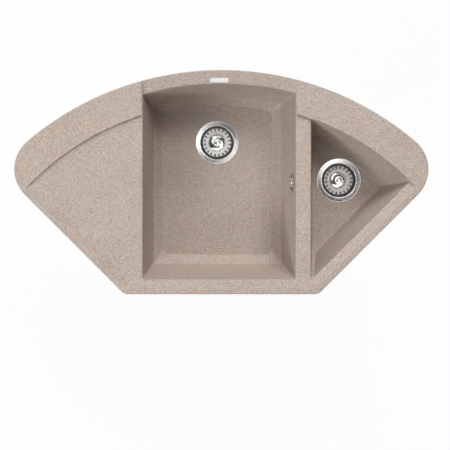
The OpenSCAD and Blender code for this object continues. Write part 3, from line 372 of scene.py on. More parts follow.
# %% Plastic and rubber finishes
def moulded_skin():
    group, inside, out = new_group(
        "moulded_skin",
        [("Vector", "NodeSocketVector", None), ("Skin per Metre", "NodeSocketFloat", 1600.0),
         ("Drift per Metre", "NodeSocketFloat", 14.0)],
        [("Height", "NodeSocketFloat"), ("Drift", "NodeSocketFloat"), ("Dull", "NodeSocketFloat")])
    skin = add(group, "ShaderNodeTexNoise", {"Detail": 4.0, "Roughness": 0.55})
    join(group, inside, "Skin per Metre", skin, "Scale")
    drift = add(group, "ShaderNodeTexNoise", {"Detail": 3.0, "Roughness": 0.6})
    join(group, inside, "Drift per Metre", drift, "Scale")
    patch = add(group, "ShaderNodeMath", {1: 5.0}, operation="MULTIPLY")
    join(group, inside, "Drift per Metre", patch, 0)
    dull = add(group, "ShaderNodeTexNoise", {"Detail": 5.0, "Roughness": 0.7})
    join(group, patch, 0, dull, "Scale")
    for texture, output in ((skin, "Height"), (drift, "Drift"), (dull, "Dull")):
        join(group, inside, "Vector", texture, "Vector")
        join(group, texture, "Fac", out, output)
    return group


SKIN = moulded_skin()


def moulded(name, low, high, rough_from, rough_to, depth, skin=1600.0, strength=0.3):
    """Plastic or rubber between two tones and two roughnesses, with a skin so many bumps to the metre."""
    material, tree, shader = new_material(name)
    place = add(tree, "ShaderNodeTexCoord")
    skin_node = use_group(tree, SKIN, {"Skin per Metre": skin})
    join(tree, place, "Object", skin_node, "Vector")
    ramp = two_tones(tree, 0.32, low, 0.68, high)
    join(tree, skin_node, "Drift", ramp, "Fac")
    join(tree, ramp, "Color", shader, "Base Color")
    rough = add(tree, "ShaderNodeMapRange",
                {"From Min": 0.35, "From Max": 0.65, "To Min": rough_from, "To Max": rough_to})
    join(tree, skin_node, "Dull", rough, "Value")
    join(tree, rough, "Result", shader, "Roughness")
    bump(tree, shader, skin_node, "Height", strength, depth)
    return material


WHITE = moulded("white_plastic", (0.74, 0.735, 0.71), (0.82, 0.815, 0.79), 0.30, 0.42, 0.03 * MM)
HOSE = moulded("hose_plastic", (0.56, 0.57, 0.565), (0.66, 0.67, 0.665), 0.34, 0.46, 0.03 * MM)
DOWEL = moulded("dowel_plastic", (0.20, 0.205, 0.21), (0.26, 0.265, 0.27), 0.42, 0.55, 0.04 * MM)
BADGE = moulded("badge_plastic", (0.80, 0.79, 0.77), (0.88, 0.87, 0.86), 0.22, 0.30, 0.01 * MM, 2600.0,
                0.12)
RUBBER = moulded("rubber", (0.022, 0.022, 0.023), (0.040, 0.039, 0.038), 0.55, 0.75, 0.06 * MM, 900.0, 0.45)

# %% [markdown]
# ## Finishes on the CAD pieces
#
# Every solid has a slot in the record that says what it is made of. Each slot gets its material
# here, so that no node is left with the flat colour that it came in with.

# %% Give each node its finish
FINISH = {"stone_composite": STONE, "badge_plastic": BADGE, "chrome": CHROME, "zinc_steel": ZINC,
          "stainless": STEEL, "brass": BRASS, "rubber": RUBBER, "hose_plastic": HOSE,
          "dowel_plastic": DOWEL, "white_plastic": WHITE}
slot_of = {row["node"]: row["material_slot"] for row in frame["record"]["subparts"]}
for name, piece in nodes.items():
    piece.data.materials.clear()
    piece.data.materials.append(FINISH[slot_of[name]])
print("finishes:", {slot: sum(s == slot for s in slot_of.values()) for slot in FINISH})

# %% [markdown]
# ## Cast and moulded pieces with soft edges
#
# Nothing that comes out of a mould has a knife edge. A copy of the CAD mesh is welded, its flat
# triangles are joined into whole faces, and its sharp edges get a narrow bevel. Normals weighted
# by face area keep the large faces flat while the light rolls round the bevels.

# %% Softened copies
WELD = 2e-6
FLAT_DEGREES = 0.4
SHARP_DEGREES = 32
WEIGHT_BY_AREA = 80


def soft_copy(node, width):
    """Welds a copy of a node, joins its flat triangles and rolls its sharp edges over a width."""
    edit = bmesh.new()
    edit.from_mesh(nodes[node].data)
    bmesh.ops.remove_doubles(edit, verts=edit.verts, dist=WELD)
    bmesh.ops.dissolve_limit(edit, angle_limit=math.radians(FLAT_DEGREES), verts=edit.verts,
                             edges=edit.edges, use_dissolve_boundaries=False)
    bmesh.ops.recalc_face_normals(edit, faces=edit.faces)
    clean = bpy.data.meshes.new(node + "_soft")
    edit.to_mesh(clean)
    edit.free()
    clean.materials.append(nodes[node].data.materials[0])
    for polygon in clean.polygons:
        polygon.use_smooth = True
    piece = bpy.data.objects.new(node + "_soft", clean)
    bpy.context.scene.collection.objects.link(piece)
    if width:
        bevel = piece.modifiers.new("bevel", "BEVEL")
        bevel.width = width
        bevel.segments = 2
        bevel.limit_method = "ANGLE"
        bevel.angle_limit = math.radians(SHARP_DEGREES)
    weigh = piece.modifiers.new("weigh", "WEIGHTED_NORMAL")
    weigh.weight = WEIGHT_BY_AREA
    bake(piece)
    return stand_for(piece, node)


def stand_for(piece, node):
    """A new piece takes a CAD node's place and body."""
    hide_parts(node)
    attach(piece, nodes[node]["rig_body"])
    return piece


def bake(piece):
    """Turns a piece's modifiers into plain mesh."""
    graph = bpy.context.evaluated_depsgraph_get()
    graph.update()
    mesh = bpy.data.meshes.new_from_object(piece.evaluated_get(graph), preserve_all_data_layers=True,
                                           depsgraph=graph)
    piece.modifiers.clear()
    old = piece.data
    piece.data = mesh
    mesh.name = piece.name
    bpy.data.meshes.remove(old)


casting = soft_copy("sink_body", 0)
print("casting:", len(casting.data.polygons), "faces")

# %% [markdown]
# The casting's own roundings are in the CAD, so its copy only gets smooth normals. The small
# moulded, pressed and turned pieces get a bevel each, wider on thick plastic than on thin sheet.

# %% Bevels in millimetres for the small pieces
EDGE = {"badge_plate": 0.35, "overflow_cover": 0.3, "overflow_screw": 0.25, "clip_screws": 0.25,
        "hose_clips": 0.25, "overflow_housing": 0.5, "waste_tee": 0.4, "trap_head": 0.5, "trap_cup": 0.5,
        "outlet_pipe": 0.3, "connecting_pipe": 0.3, "rim_seal": 0.3}
EDGE.update({f"fixing_clip_{k}": 0.3 for k in range(1, 9)})
for side in ("main", "small"):
    EDGE.update({side + "_waste_body": 0.5, side + "_lower_gasket": 0.5, side + "_clamp_screw": 0.25,
                 side + "_outlet_nut": 0.5, side + "_basket_nut": 0.2})
EDGE.update({name: 0.5 for name in ("branch_nut", "trap_inlet_nut", "trap_outlet_nut")})
softened = [soft_copy(node, width * MM) for node, width in EDGE.items()]
print("softened:", len(softened), "pieces, up to", max(len(o.data.polygons) for o in softened), "faces")

# %% [markdown]
# ## Turning a profile
#
# Strainers, knobs and baskets are all turned shapes, so one function makes them from a profile of
# (radius, height) points in millimetres. The profile's corners are rounded first, because pressed
# sheet and plated brass have no sharp ones. The second UV direction is the length along the
# profile in metres and the first runs once round, which is what the turned marks read.

# %% Profiles and lathes
def soften(points, cut, steps=4):
    """Rounds inner corners with curves that start cut before them, or nearly halfway to a close point."""
    made = [points[0]]
    for before, here, after in zip(points, points[1:], points[2:]):
        ends = []
        for other in (before, after):
            gap = math.dist(here, other)
            share = min(cut, gap * 0.45) / gap
            ends.append(tuple(h + (o - h) * share for h, o in zip(here, other)))
        for k in range(steps + 1):
            t = k / steps
            made.append(tuple((1 - t) ** 2 * a + 2 * t * (1 - t) * h + t * t * b
                              for a, h, b in zip(ends[0], here, ends[1])))
    return made + [points[-1]]


def offset(points, thickness):
    """The other skin of a sheet: the profile moved sideways by its thickness, never across the axis."""
    moved = []
    for i, (r, z) in enumerate(points):
        (r0, z0), (r1, z1) = points[max(i - 1, 0)], points[min(i + 1, len(points) - 1)]
        length = math.hypot(r1 - r0, z1 - z0)
        moved.append((max(r - (z1 - z0) / length * thickness, 0.01), z + (r1 - r0) / length * thickness))
    return moved


# Radius in millimetres below which a profile's point counts as the pole
ON_AXIS = 1e-6
CREASE_DEGREES = 40


class Skin:
    """Collects faces with UVs and welds them into one mesh."""

    def __init__(self):
        self.mesh = bmesh.new()
        self.uv = self.mesh.loops.layers.uv.new("UVMap")

    def face(self, corners, material=0):
        """corners: (radius, angle in degrees, height, length along the profile), in millimetres."""
        corners = [c for i, c in enumerate(corners)
                   if i == 0 or c[0] > ON_AXIS or corners[i - 1][0] > ON_AXIS]
        verts = [self.mesh.verts.new((r * math.cos(math.radians(a)) * MM,
                                      r * math.sin(math.radians(a)) * MM, z * MM))
                 for r, a, z, _ in corners]
        made = self.mesh.faces.new(verts)
        made.smooth = True
        made.material_index = material
        for loop, (_, a, _, v) in zip(made.loops, corners):
            loop[self.uv].uv = (a / 360, v * MM)

    def turn(self, profile, steps, material_of=lambda i: 0, start=0.0):
        """Rings of faces between neighbouring profile points."""
        lengths = [start]
        for a, b in zip(profile, profile[1:]):
            lengths.append(lengths[-1] + math.dist(a, b))
        step = 360 / steps
        for i in range(len(profile) - 1):
            (r0, z0), (r1, z1) = profile[i], profile[i + 1]
            for k in range(steps):
                a, b = k * step, (k + 1) * step
                self.face([(r0, a, z0, lengths[i]), (r0, b, z0, lengths[i]),
                           (r1, b, z1, lengths[i + 1]), (r1, a, z1, lengths[i + 1])], material_of(i))

    def piece(self, name, place, materials):
        bmesh.ops.remove_doubles(self.mesh, verts=self.mesh.verts, dist=WELD)
        bmesh.ops.recalc_face_normals(self.mesh, faces=self.mesh.faces)
        for edge in self.mesh.edges:
            edge.smooth = (len(edge.link_faces) == 2
                           and edge.calc_face_angle(0) < math.radians(CREASE_DEGREES))
        bmesh.ops.translate(self.mesh, verts=self.mesh.verts, vec=place)
        mesh = bpy.data.meshes.new(name)
        self.mesh.to_mesh(mesh)
        self.mesh.free()
        for material in materials:
            mesh.materials.append(material)
        piece = bpy.data.objects.new(name, mesh)
        bpy.context.scene.collection.objects.link(piece)
        return piece


FLANGE_TOP = 0.013


def drain_of(side):
    """The waste's axis at the level of the bowl floor. The CAD cup's edge stands FLANGE_TOP mm above it."""
    low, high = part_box(side + "_strainer_cup")
    return Vector(((low.x + high.x) / 2, (low.y + high.y) / 2, high.z - FLANGE_TOP * MM))


# %% [markdown]
# ## The strainer cups
#
# Each waste starts with a broad flange that lies in the bowl floor and drops into a cup. It is one
# pressed sheet: a rolled outer edge, a shallow slope, a bead, the cup's wall and its floor with
# eight drain holes round the clamp screw. The flange is turned, so it gets the anisotropic steel,
# and the cup gets a duller, darker steel whose dark colour is painted shade for its deep inside.

# %% Strainer cups
CUP_SKIN = [(59.0, -0.75), (59.0, -0.15), (58.3, 0.01), (57.2, -0.25), (50.0, -1.62), (47.2, -2.1),
            (46.2, -1.95), (45.2, -2.5), (43.6, -4.1), (43.0, -7.0), (42.6, -18.0), (42.0, -22.4),
            (39.0, -25.4), (35.5, -25.8), (11.2, -25.8), (10.0, -26.4), (9.4, -29.4), (8.0, -29.8),
            (4.25, -29.8)]
SHEET = 1.0
# The turned flange reaches in to this radius, and outside THICK_FROM the sheet is at least THINNEST deep
TURNED_TO, THICK_FROM, THINNEST = 47.4, 43, 0.4
CUP_STEPS = 144
HOLES, HOLE_RING, HOLE_RADIUS, CUP_FLOOR, CUTTER_DEPTH = 8, 17, 5, -26.3, 6


def strainer_cup(side):
    top = soften(CUP_SKIN, 0.5)
    bottom = offset(top, -SHEET)
    bottom = [(r, min(z, t[1] - THINNEST)) if r > THICK_FROM else (r, z) for (r, z), t in zip(bottom, top)]
    loop = top + bottom[::-1] + top[:1]
    skin = Skin()
    flange = sum(r > TURNED_TO for r, _ in top)
    skin.turn(loop, CUP_STEPS, lambda i: 0 if i < flange else 1)
    # The cup inside the flange takes the dark steel, painted shade for its deep inside
    piece = skin.piece(side + "_strainer_sheet", drain_of(side), [TURNED_STEEL, CUP_PAINTED_SHADE])
    holes = bmesh.new()
    for k in range(HOLES):
        around = math.radians(k * 360 / HOLES)
        out = Vector((HOLE_RING * math.cos(around), HOLE_RING * math.sin(around), CUP_FLOOR)) * MM
        bmesh.ops.create_cone(holes, cap_ends=True, segments=32, radius1=HOLE_RADIUS * MM,
                              radius2=HOLE_RADIUS * MM, depth=CUTTER_DEPTH * MM,
                              matrix=Matrix.Translation(drain_of(side) + out))
    cutter_mesh = bpy.data.meshes.new("cutter")
    holes.to_mesh(cutter_mesh)
    holes.free()
    cutter = bpy.data.objects.new("cutter", cutter_mesh)
    bpy.context.scene.collection.objects.link(cutter)
    cut = piece.modifiers.new("holes", "BOOLEAN")
    cut.object = cutter
    cut.solver = "EXACT"
    bake(piece)
    bpy.data.objects.remove(cutter)
    return stand_for(piece, side + "_strainer_cup")


for side in ("main", "small"):
    cup = strainer_cup(side)
    print(cup.name, len(cup.data.polygons), "faces")

# %% [markdown]
# ## The baskets
#
# A basket lifts out by its knob. Its sheet is a low bright dome under the knob, falls into a groove
# and comes up again as a flat satin ring with twenty openings, so that from above it looks like a
# cog. A rolled edge closes it. The ring with the openings is made of twenty equal sectors. In each,
# rings of faces lead from the sector's square border to the rounded opening, on both skins, and a
# short lip joins the skins through it.

# %% Baskets
TEETH = 20
SECTOR = 360 / TEETH
ROUND_SECTOR = 24
BASKET_SHEET = 0.9
DOME_SKIN = [(3.3, -11.8), (10.0, -12.35), (16.0, -13.4), (21.0, -14.9), (23.9, -16.6), (25.2, -18.6),
             (26.2, -19.0), (26.9, -17.0), (27.4, -13.2), (28.4, -12.0), (30.5, -11.7)]
RIM_SKIN = [(38.9, -10.2), (39.2, -9.5), (39.35, -8.2), (39.5, -6.75), (39.9, -6.35), (40.4, -6.5),
            (40.45, -7.2), (40.2, -8.6), (39.9, -10.1), (39.2, -11.2)]
# An opening's half angle in degrees, and where it starts and ends as a share of the ring's width
SLOT_HALF_TURN, SLOT_LOW, SLOT_HIGH = 5.0, 0.04, 0.985
# The power in its outline's equation: 2 would make it oval, and more makes it squarer
SLOT_POWER = 4
# The opening is a little narrower halfway through the sheet: (share of the thickness, share of the width)
LIPS = [(0, 1.0), (0.25, 0.955), (0.75, 0.955), (1, 1.0)]
DOME_EDGE = 26.3
# Rough length in millimetres from the dome's end to the rolled edge, for the rings' UVs
RING_WIDTH = 12


def ring_length(points):
    return sum(math.dist(a, b) for a, b in zip(points, points[1:]))


def slotted_wall(skin, inner, outer, start):
    """The ring with the openings. inner and outer hold its two ends, (radius, height), on each skin."""
    quarter = ROUND_SECTOR // 4
    border = []
    for k in range(ROUND_SECTOR):
        part, f = k // quarter, 2 * (k % quarter) / quarter - 1
        border.append([(f, -1), (1, f), (-f, 1), (-1, -f)][part])
    height = math.dist(*inner)
    middle, half = (SLOT_LOW + SLOT_HIGH) / 2, (SLOT_HIGH - SLOT_LOW) / 2

    def at(k, inward, through, sector, shrink=1.0):
        x, y = border[k % ROUND_SECTOR]
        round_off = (abs(x) ** SLOT_POWER + abs(y) ** SLOT_POWER) ** (1 / SLOT_POWER)
        turn = (1 - inward) * x * SECTOR / 2 + inward * x / round_off * SLOT_HALF_TURN * shrink
        v = (1 - inward) * (y + 1) / 2 + inward * (middle + y / round_off * half * shrink)
        low = [a + (b - a) * through for a, b in zip(inner[0], outer[0])]
        high = [a + (b - a) * through for a, b in zip(inner[1], outer[1])]
        r, z = [a + (b - a) * v for a, b in zip(low, high)]
        return (r, (sector + 0.5) * SECTOR + turn, z, start + v * height)

    for sector in range(TEETH):
        for k in range(ROUND_SECTOR):
            for through in (0, 1):
                for near, far in ((0, 0.5), (0.5, 1)):
                    skin.face([at(k, near, through, sector), at(k + 1, near, through, sector),
                               at(k + 1, far, through, sector), at(k, far, through, sector)], 1)
            for (t0, s0), (t1, s1) in zip(LIPS, LIPS[1:]):
                skin.face([at(k, 1, t0, sector, s0), at(k + 1, 1, t0, sector, s0),
                           at(k + 1, 1, t1, sector, s1), at(k, 1, t1, sector, s1)], 1)


def basket(side):
    steps = TEETH * ROUND_SECTOR // 4
    upper = soften(DOME_SKIN, 1.1)
    lower = offset(upper, -BASKET_SHEET)
    lower[0] = (upper[0][0], lower[0][1])
    rim = soften(RIM_SKIN, 0.35, 3)
    skin = Skin()
    dome = lower[::-1] + upper
    skin.turn(dome, steps, lambda i: 0 if dome[i][0] < DOME_EDGE else 1)
    skin.turn(rim, steps, lambda i: 2, start=ring_length(upper) + RING_WIDTH)
    slotted_wall(skin, (upper[-1], rim[0]), (lower[-1], rim[-1]), ring_length(upper))
    # The ring takes the near-white steel, a painted reflection, and the rolled edge the dark cup steel,
    # painted shade
    piece = skin.piece(side + "_basket_sheet", drain_of(side), [DOME_STEEL, RING_PAINTED_REFLECTION, CUP_PAINTED_SHADE])
    return stand_for(piece, side + "_basket")


# %% [markdown]
# ## The knobs
#
# The pull knob is turned brass with bright plating: a waist to hold, a round edge, a groove and a
# slightly domed button in the middle. Its stud runs down through the dome and the rubber stopper.

# %% Knobs
KNOB = [(0.0, -25.4), (2.6, -25.4), (3.0, -25.0), (3.0, -11.75), (8.6, -11.75), (8.4, -10.6), (6.3, -8.9),
        (5.9, -7.2), (6.8, -5.2), (10.6, -3.4), (11.95, -2.2), (11.95, -0.9), (11.0, 0.15), (9.6, 0.5),
        (8.8, 0.1), (8.2, -0.7), (7.6, -0.15), (5.6, 0.45), (2.8, 1.02), (0.0, 1.2)]
KNOB_STEPS = 96


def knob(side):
    skin = Skin()
    skin.turn(soften(KNOB, 0.45), KNOB_STEPS)
    return stand_for(skin.piece(side + "_pull_knob", drain_of(side), [CHROME]), side + "_knob")


for side in ("main", "small"):
    for made in (basket(side), knob(side)):
        print(made.name, len(made.data.polygons), "faces")

# %% [markdown]
# ## The overflow hose
#
# A ribbed hose takes the overflow's water down to the port on the main waste. Geometry Nodes draws
# it: a route of points becomes a curve, the curve is cut into short steps, each step gets a radius
# from a wave, and a circle swept along it makes the ribs. Its ends stay plain, as cuffs that push
# over the spigots. The route repeats the CAD solid's, and the ribs keep inside its outline.

# %% The hose's route
HOSE_TOP = Vector((206.07, 286.0, -57.0)) * MM
PORT_AXIS = Vector((-5.25, 391.5, -224.15)) * MM
PORT_REACH = 52.3 * MM
BEND = 40.0 * MM
RIBS = {"Root": 11.0 * MM, "Rib": 1.75 * MM, "Pitch": 4.0 * MM, "Cuff": 12.0 * MM, "Sides": 40}


def hose_route(turns=18, step=8 * MM):
    """Straight down, a quarter bend, and along to the port, as evenly spaced points."""
    along = Vector((HOSE_TOP.x - PORT_AXIS.x, HOSE_TOP.y - PORT_AXIS.y, 0))
    run = along.length
    along.normalize()
    up = Vector((0, 0, 1))
    corner = PORT_AXIS + along * (run - BEND) + up * BEND
    down_to = Vector((HOSE_TOP.x, HOSE_TOP.y, corner.z))
    fall = int((HOSE_TOP.z - down_to.z) / step)
    points = [HOSE_TOP.lerp(down_to, k / fall) for k in range(fall)]
    for k in range(turns):
        a = math.radians(90 * k / turns)
        points.append(corner + along * BEND * math.cos(a) - up * BEND * math.sin(a))
    flat_from = PORT_AXIS + along * (run - BEND)
    flat_to = PORT_AXIS + along * PORT_REACH
    flat = int((flat_from - flat_to).length / step)
    return points + [flat_from.lerp(flat_to, k / flat) for k in range(flat + 1)]


def curve_through(name, points):
    data = bpy.data.curves.new(name, "CURVE")
    data.dimensions = "3D"
    line = data.splines.new("POLY")
    line.points.add(len(points) - 1)
    for target, point in zip(line.points, points):
        target.co = (*point, 1)
    holder = bpy.data.objects.new(name, data)
    bpy.context.scene.collection.objects.link(holder)
    return holder


# %% [markdown]
# A geometry tree takes its sizes from named inputs, so the same tree can be tried with other
# values. These helpers make the tree, put it on an object, set its inputs and turn the result
# into a mesh that needs no modifier.

# %% Geometry Nodes helpers
def new_tree(name, inputs):
    tree = bpy.data.node_groups.new(name, "GeometryNodeTree")
    tree.interface.new_socket("Geometry", in_out="INPUT", socket_type="NodeSocketGeometry")
    for label, kind, value in inputs:
        socket = tree.interface.new_socket(label, in_out="INPUT", socket_type=kind)
        if value is not None:
            socket.default_value = value
    tree.interface.new_socket("Geometry", in_out="OUTPUT", socket_type="NodeSocketGeometry")
    return tree, tree.nodes.new("NodeGroupInput"), tree.nodes.new("NodeGroupOutput")


def maths(tree, operation, first, second=None):
    """A math node; each operand is a number or an output socket."""
    made = tree.nodes.new("ShaderNodeMath")
    made.operation = operation
    for place, value in ((0, first), (1, second)):
        if value is None:
            continue
        if isinstance(value, (int, float)):
            made.inputs[place].default_value = value
        else:
            tree.links.new(value, made.inputs[place])
    return made.outputs[0]


def grown(holder, tree, values, name):
    """Runs a geometry tree on an object and returns its result as a plain mesh object."""
    modifier = holder.modifiers.new("grow", "NODES")
    modifier.node_group = tree
    ids = {item.name: item.identifier for item in tree.interface.items_tree if item.in_out == "INPUT"}
    for label, value in values.items():
        modifier[ids[label]] = value
    graph = bpy.context.evaluated_depsgraph_get()
    graph.update()
    mesh = bpy.data.meshes.new_from_object(holder.evaluated_get(graph), depsgraph=graph)
    mesh.name = name
    bpy.data.objects.remove(holder)
    piece = bpy.data.objects.new(name, mesh)
    bpy.context.scene.collection.objects.link(piece)
    return piece


# %% The hose's tree
STEPS_PER_RIB = 10.0
# Below 1 the wave's crests are broader than its troughs
RIB_FULLNESS = 0.6


def ribbed_tree():
    tree, inside, out = new_tree("ribbed_hose", [
        ("Root", "NodeSocketFloat", 0.01), ("Rib", "NodeSocketFloat", 0.002),
        ("Pitch", "NodeSocketFloat", 0.004), ("Cuff", "NodeSocketFloat", 0.01),
        ("Sides", "NodeSocketInt", 32), ("Material", "NodeSocketMaterial", None)])
    cut = tree.nodes.new("GeometryNodeResampleCurve")
    cut.mode = "LENGTH"
    tree.links.new(inside.outputs["Geometry"], cut.inputs["Curve"])
    tree.links.new(maths(tree, "DIVIDE", inside.outputs["Pitch"], STEPS_PER_RIB), cut.inputs["Length"])
    where = tree.nodes.new("GeometryNodeSplineParameter").outputs["Length"]
    total = tree.nodes.new("GeometryNodeSplineLength").outputs["Length"]
    past = maths(tree, "SUBTRACT", where, inside.outputs["Cuff"])
    left = maths(tree, "SUBTRACT", maths(tree, "SUBTRACT", total, inside.outputs["Cuff"]), where)
    phase = maths(tree, "MULTIPLY", maths(tree, "DIVIDE", past, inside.outputs["Pitch"]), math.tau)
    wave = maths(tree, "MULTIPLY", maths(tree, "SUBTRACT", 1.0, maths(tree, "COSINE", phase)), 0.5)
    wave = maths(tree, "POWER", wave, RIB_FULLNESS)
    ribbed = maths(tree, "GREATER_THAN", maths(tree, "MINIMUM", past, left), 0.0)
    height = maths(tree, "MULTIPLY", maths(tree, "MULTIPLY", wave, ribbed), inside.outputs["Rib"])
    radius = maths(tree, "ADD", height, inside.outputs["Root"])
    ring = tree.nodes.new("GeometryNodeCurvePrimitiveCircle")
    ring.inputs["Radius"].default_value = 1.0
    tree.links.new(inside.outputs["Sides"], ring.inputs["Resolution"])
    finish(tree, swept(tree, cut.outputs["Curve"], ring.outputs["Curve"], radius), inside, out)
    return tree


def swept(tree, path, section, size):
    """A section swept along a path, as large at each point as size says."""
    sweep = tree.nodes.new("GeometryNodeCurveToMesh")
    sweep.inputs["Fill Caps"].default_value = True
    tree.links.new(path, sweep.inputs["Curve"])
    tree.links.new(section, sweep.inputs["Profile Curve"])
    tree.links.new(size, sweep.inputs["Scale"])
    return sweep.outputs["Mesh"]


def finish(tree, mesh, inside, out):
    """Every tree ends alike: instances made real, faces smoothed, the material set."""
    real = tree.nodes.new("GeometryNodeRealizeInstances")
    smooth = tree.nodes.new("GeometryNodeSetShadeSmooth")
    paint = tree.nodes.new("GeometryNodeSetMaterial")
    tree.links.new(mesh, real.inputs["Geometry"])
    tree.links.new(real.outputs["Geometry"], smooth.inputs["Geometry"])
    tree.links.new(smooth.outputs["Geometry"], paint.inputs["Geometry"])
    tree.links.new(inside.outputs["Material"], paint.inputs["Material"])
    tree.links.new(paint.outputs["Geometry"], out.inputs["Geometry"])


hose = grown(curve_through("hose_route", hose_route()), ribbed_tree(), {**RIBS, "Material": HOSE},
             "ribbed_hose")
stand_for(hose, "overflow_hose")
print("hose:", len(hose.data.polygons), "faces")

# %% [markdown]
# ## The threads behind the union nuts
#
# Each union nut screws on to a moulded thread, and its last turns show behind the nut. The thread
# of such fittings is coarse and round. A spiral gives its path, a small circle its section, and
# the section shrinks to nothing at both ends, as a moulded thread runs out. One tree serves all
# five sockets: only the radius, the place and the turn differ.

# %% The threads
THREAD = {"Pitch": 3.0 * MM, "Ridge": 1.15 * MM}
NUT_LENGTH = 22.0 * MM
NARROW, WIDE = 23.7 * MM, 28.7 * MM
# The ridge is full from a ninth of the thread's length on, and starts from a fiftieth of its height
RUN_OUT, THREAD_TIP = 9.0, 0.02


def thread_tree():
    tree, inside, out = new_tree("socket_thread", [
        ("Radius", "NodeSocketFloat", 0.02), ("Pitch", "NodeSocketFloat", 0.003),
        ("Turns", "NodeSocketFloat", 2.0), ("Ridge", "NodeSocketFloat", 0.001),
        ("Place", "NodeSocketVector", None), ("Turn", "NodeSocketRotation", None),
        ("Material", "NodeSocketMaterial", None)])
    spiral = tree.nodes.new("GeometryNodeCurveSpiral")
    spiral.inputs["Resolution"].default_value = 64
    for socket, value in (("Rotations", "Turns"), ("Start Radius", "Radius"), ("End Radius", "Radius")):
        tree.links.new(inside.outputs[value], spiral.inputs[socket])
    rise = maths(tree, "MULTIPLY", inside.outputs["Pitch"], inside.outputs["Turns"])
    tree.links.new(rise, spiral.inputs["Height"])
    along = tree.nodes.new("GeometryNodeSplineParameter").outputs["Factor"]
    near_end = maths(tree, "MINIMUM", along, maths(tree, "SUBTRACT", 1.0, along))
    grow = maths(tree, "MINIMUM", maths(tree, "MULTIPLY", near_end, RUN_OUT), 1.0)
    size = maths(tree, "MULTIPLY", maths(tree, "MAXIMUM", grow, THREAD_TIP), inside.outputs["Ridge"])
    ring = tree.nodes.new("GeometryNodeCurvePrimitiveCircle")
    ring.inputs["Resolution"].default_value = 12
    ring.inputs["Radius"].default_value = 1.0
    sweep = swept(tree, spiral.outputs["Curve"], ring.outputs["Curve"], size)
    put = tree.nodes.new("GeometryNodeTransform")
    tree.links.new(sweep, put.inputs["Geometry"])
    tree.links.new(inside.outputs["Place"], put.inputs["Translation"])
    tree.links.new(inside.outputs["Turn"], put.inputs["Rotation"])
    finish(tree, put.outputs["Geometry"], inside, out)
    return tree


def middle_of(node):
    low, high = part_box(node)
    return (low + high) / 2


to_branch = drain_of("small") - drain_of("main")
to_branch.z = 0
# For each nut: the way back along the pipe, the thread's radius and its turns
SOCKETS = {"main_outlet_nut": ((0, 0, 1), NARROW, 1.8), "small_outlet_nut": ((0, 0, 1), NARROW, 1.8),
           "trap_inlet_nut": ((0, 0, -1), NARROW, 2.4), "branch_nut": (-to_branch, NARROW, 3.2),
           "trap_outlet_nut": ((0, -1, 0), WIDE, 2.6)}
threads = thread_tree()
for nut, (back, radius, turns) in SOCKETS.items():
    back = Vector(back).normalized()
    start = middle_of(nut) + back * (NUT_LENGTH / 2 + THREAD["Ridge"])
    values = {**THREAD, "Radius": radius, "Turns": turns, "Place": start,
              "Turn": back.to_track_quat("Z", "Y").to_euler(), "Material": WHITE}
    holder = bpy.data.objects.new("spot", bpy.data.meshes.new("spot"))
    bpy.context.scene.collection.objects.link(holder)
    made = grown(holder, threads, values, nut.replace("nut", "thread"))
    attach(made, "sink")
    print(made.name, len(made.data.polygons), "faces")

# %% [markdown]
# ## The floor
#
# The photograph is a cut-out on white. The floor glows white to the camera and to mirrored rays and
# is a matt pale grey to all others, so it stays even but keeps a trace of the sink's shadow.

# %% The floor
FLOOR = -0.54
FLOOR_HALF = 6.0
GLOW_SHARE = 0.93


def floor_piece():
    mesh = bpy.data.meshes.new("floor")
    ends = (-FLOOR_HALF, FLOOR_HALF)
    mesh.from_pydata([(x, y, FLOOR) for y in ends for x in ends], [], [(0, 1, 3, 2)])
    piece = bpy.data.objects.new("floor", mesh)
    bpy.context.scene.collection.objects.link(piece)
    material = bpy.data.materials.new("floor")
    material.use_nodes = True
    tree = material.node_tree
    tree.nodes.clear()
    out = add(tree, "ShaderNodeOutputMaterial")
    matt = add(tree, "ShaderNodeBsdfDiffuse", {"Color": (0.85, 0.85, 0.85, 1)})
    glow = add(tree, "ShaderNodeEmission", {"Color": (1, 1, 1, 1), "Strength": 1.0})
    path = add(tree, "ShaderNodeLightPath")
    seen = add(tree, "ShaderNodeMath", operation="MAXIMUM")
    join(tree, path, "Is Camera Ray", seen, 0)
    join(tree, path, "Is Glossy Ray", seen, 1)
    seen_too = add(tree, "ShaderNodeMath", operation="MAXIMUM")
    join(tree, seen, 0, seen_too, 0)
    join(tree, path, "Is Transmission Ray", seen_too, 1)
    share = add(tree, "ShaderNodeMath", {1: GLOW_SHARE}, operation="MULTIPLY")
    join(tree, seen_too, 0, share, 0)
    mix = add(tree, "ShaderNodeMixShader")
    join(tree, share, 0, mix, "Fac")
    tree.links.new(matt.outputs[0], mix.inputs[1])
    tree.links.new(glow.outputs[0], mix.inputs[2])
    join(tree, mix, 0, out, "Surface")
    mesh.materials.append(material)


floor_piece()
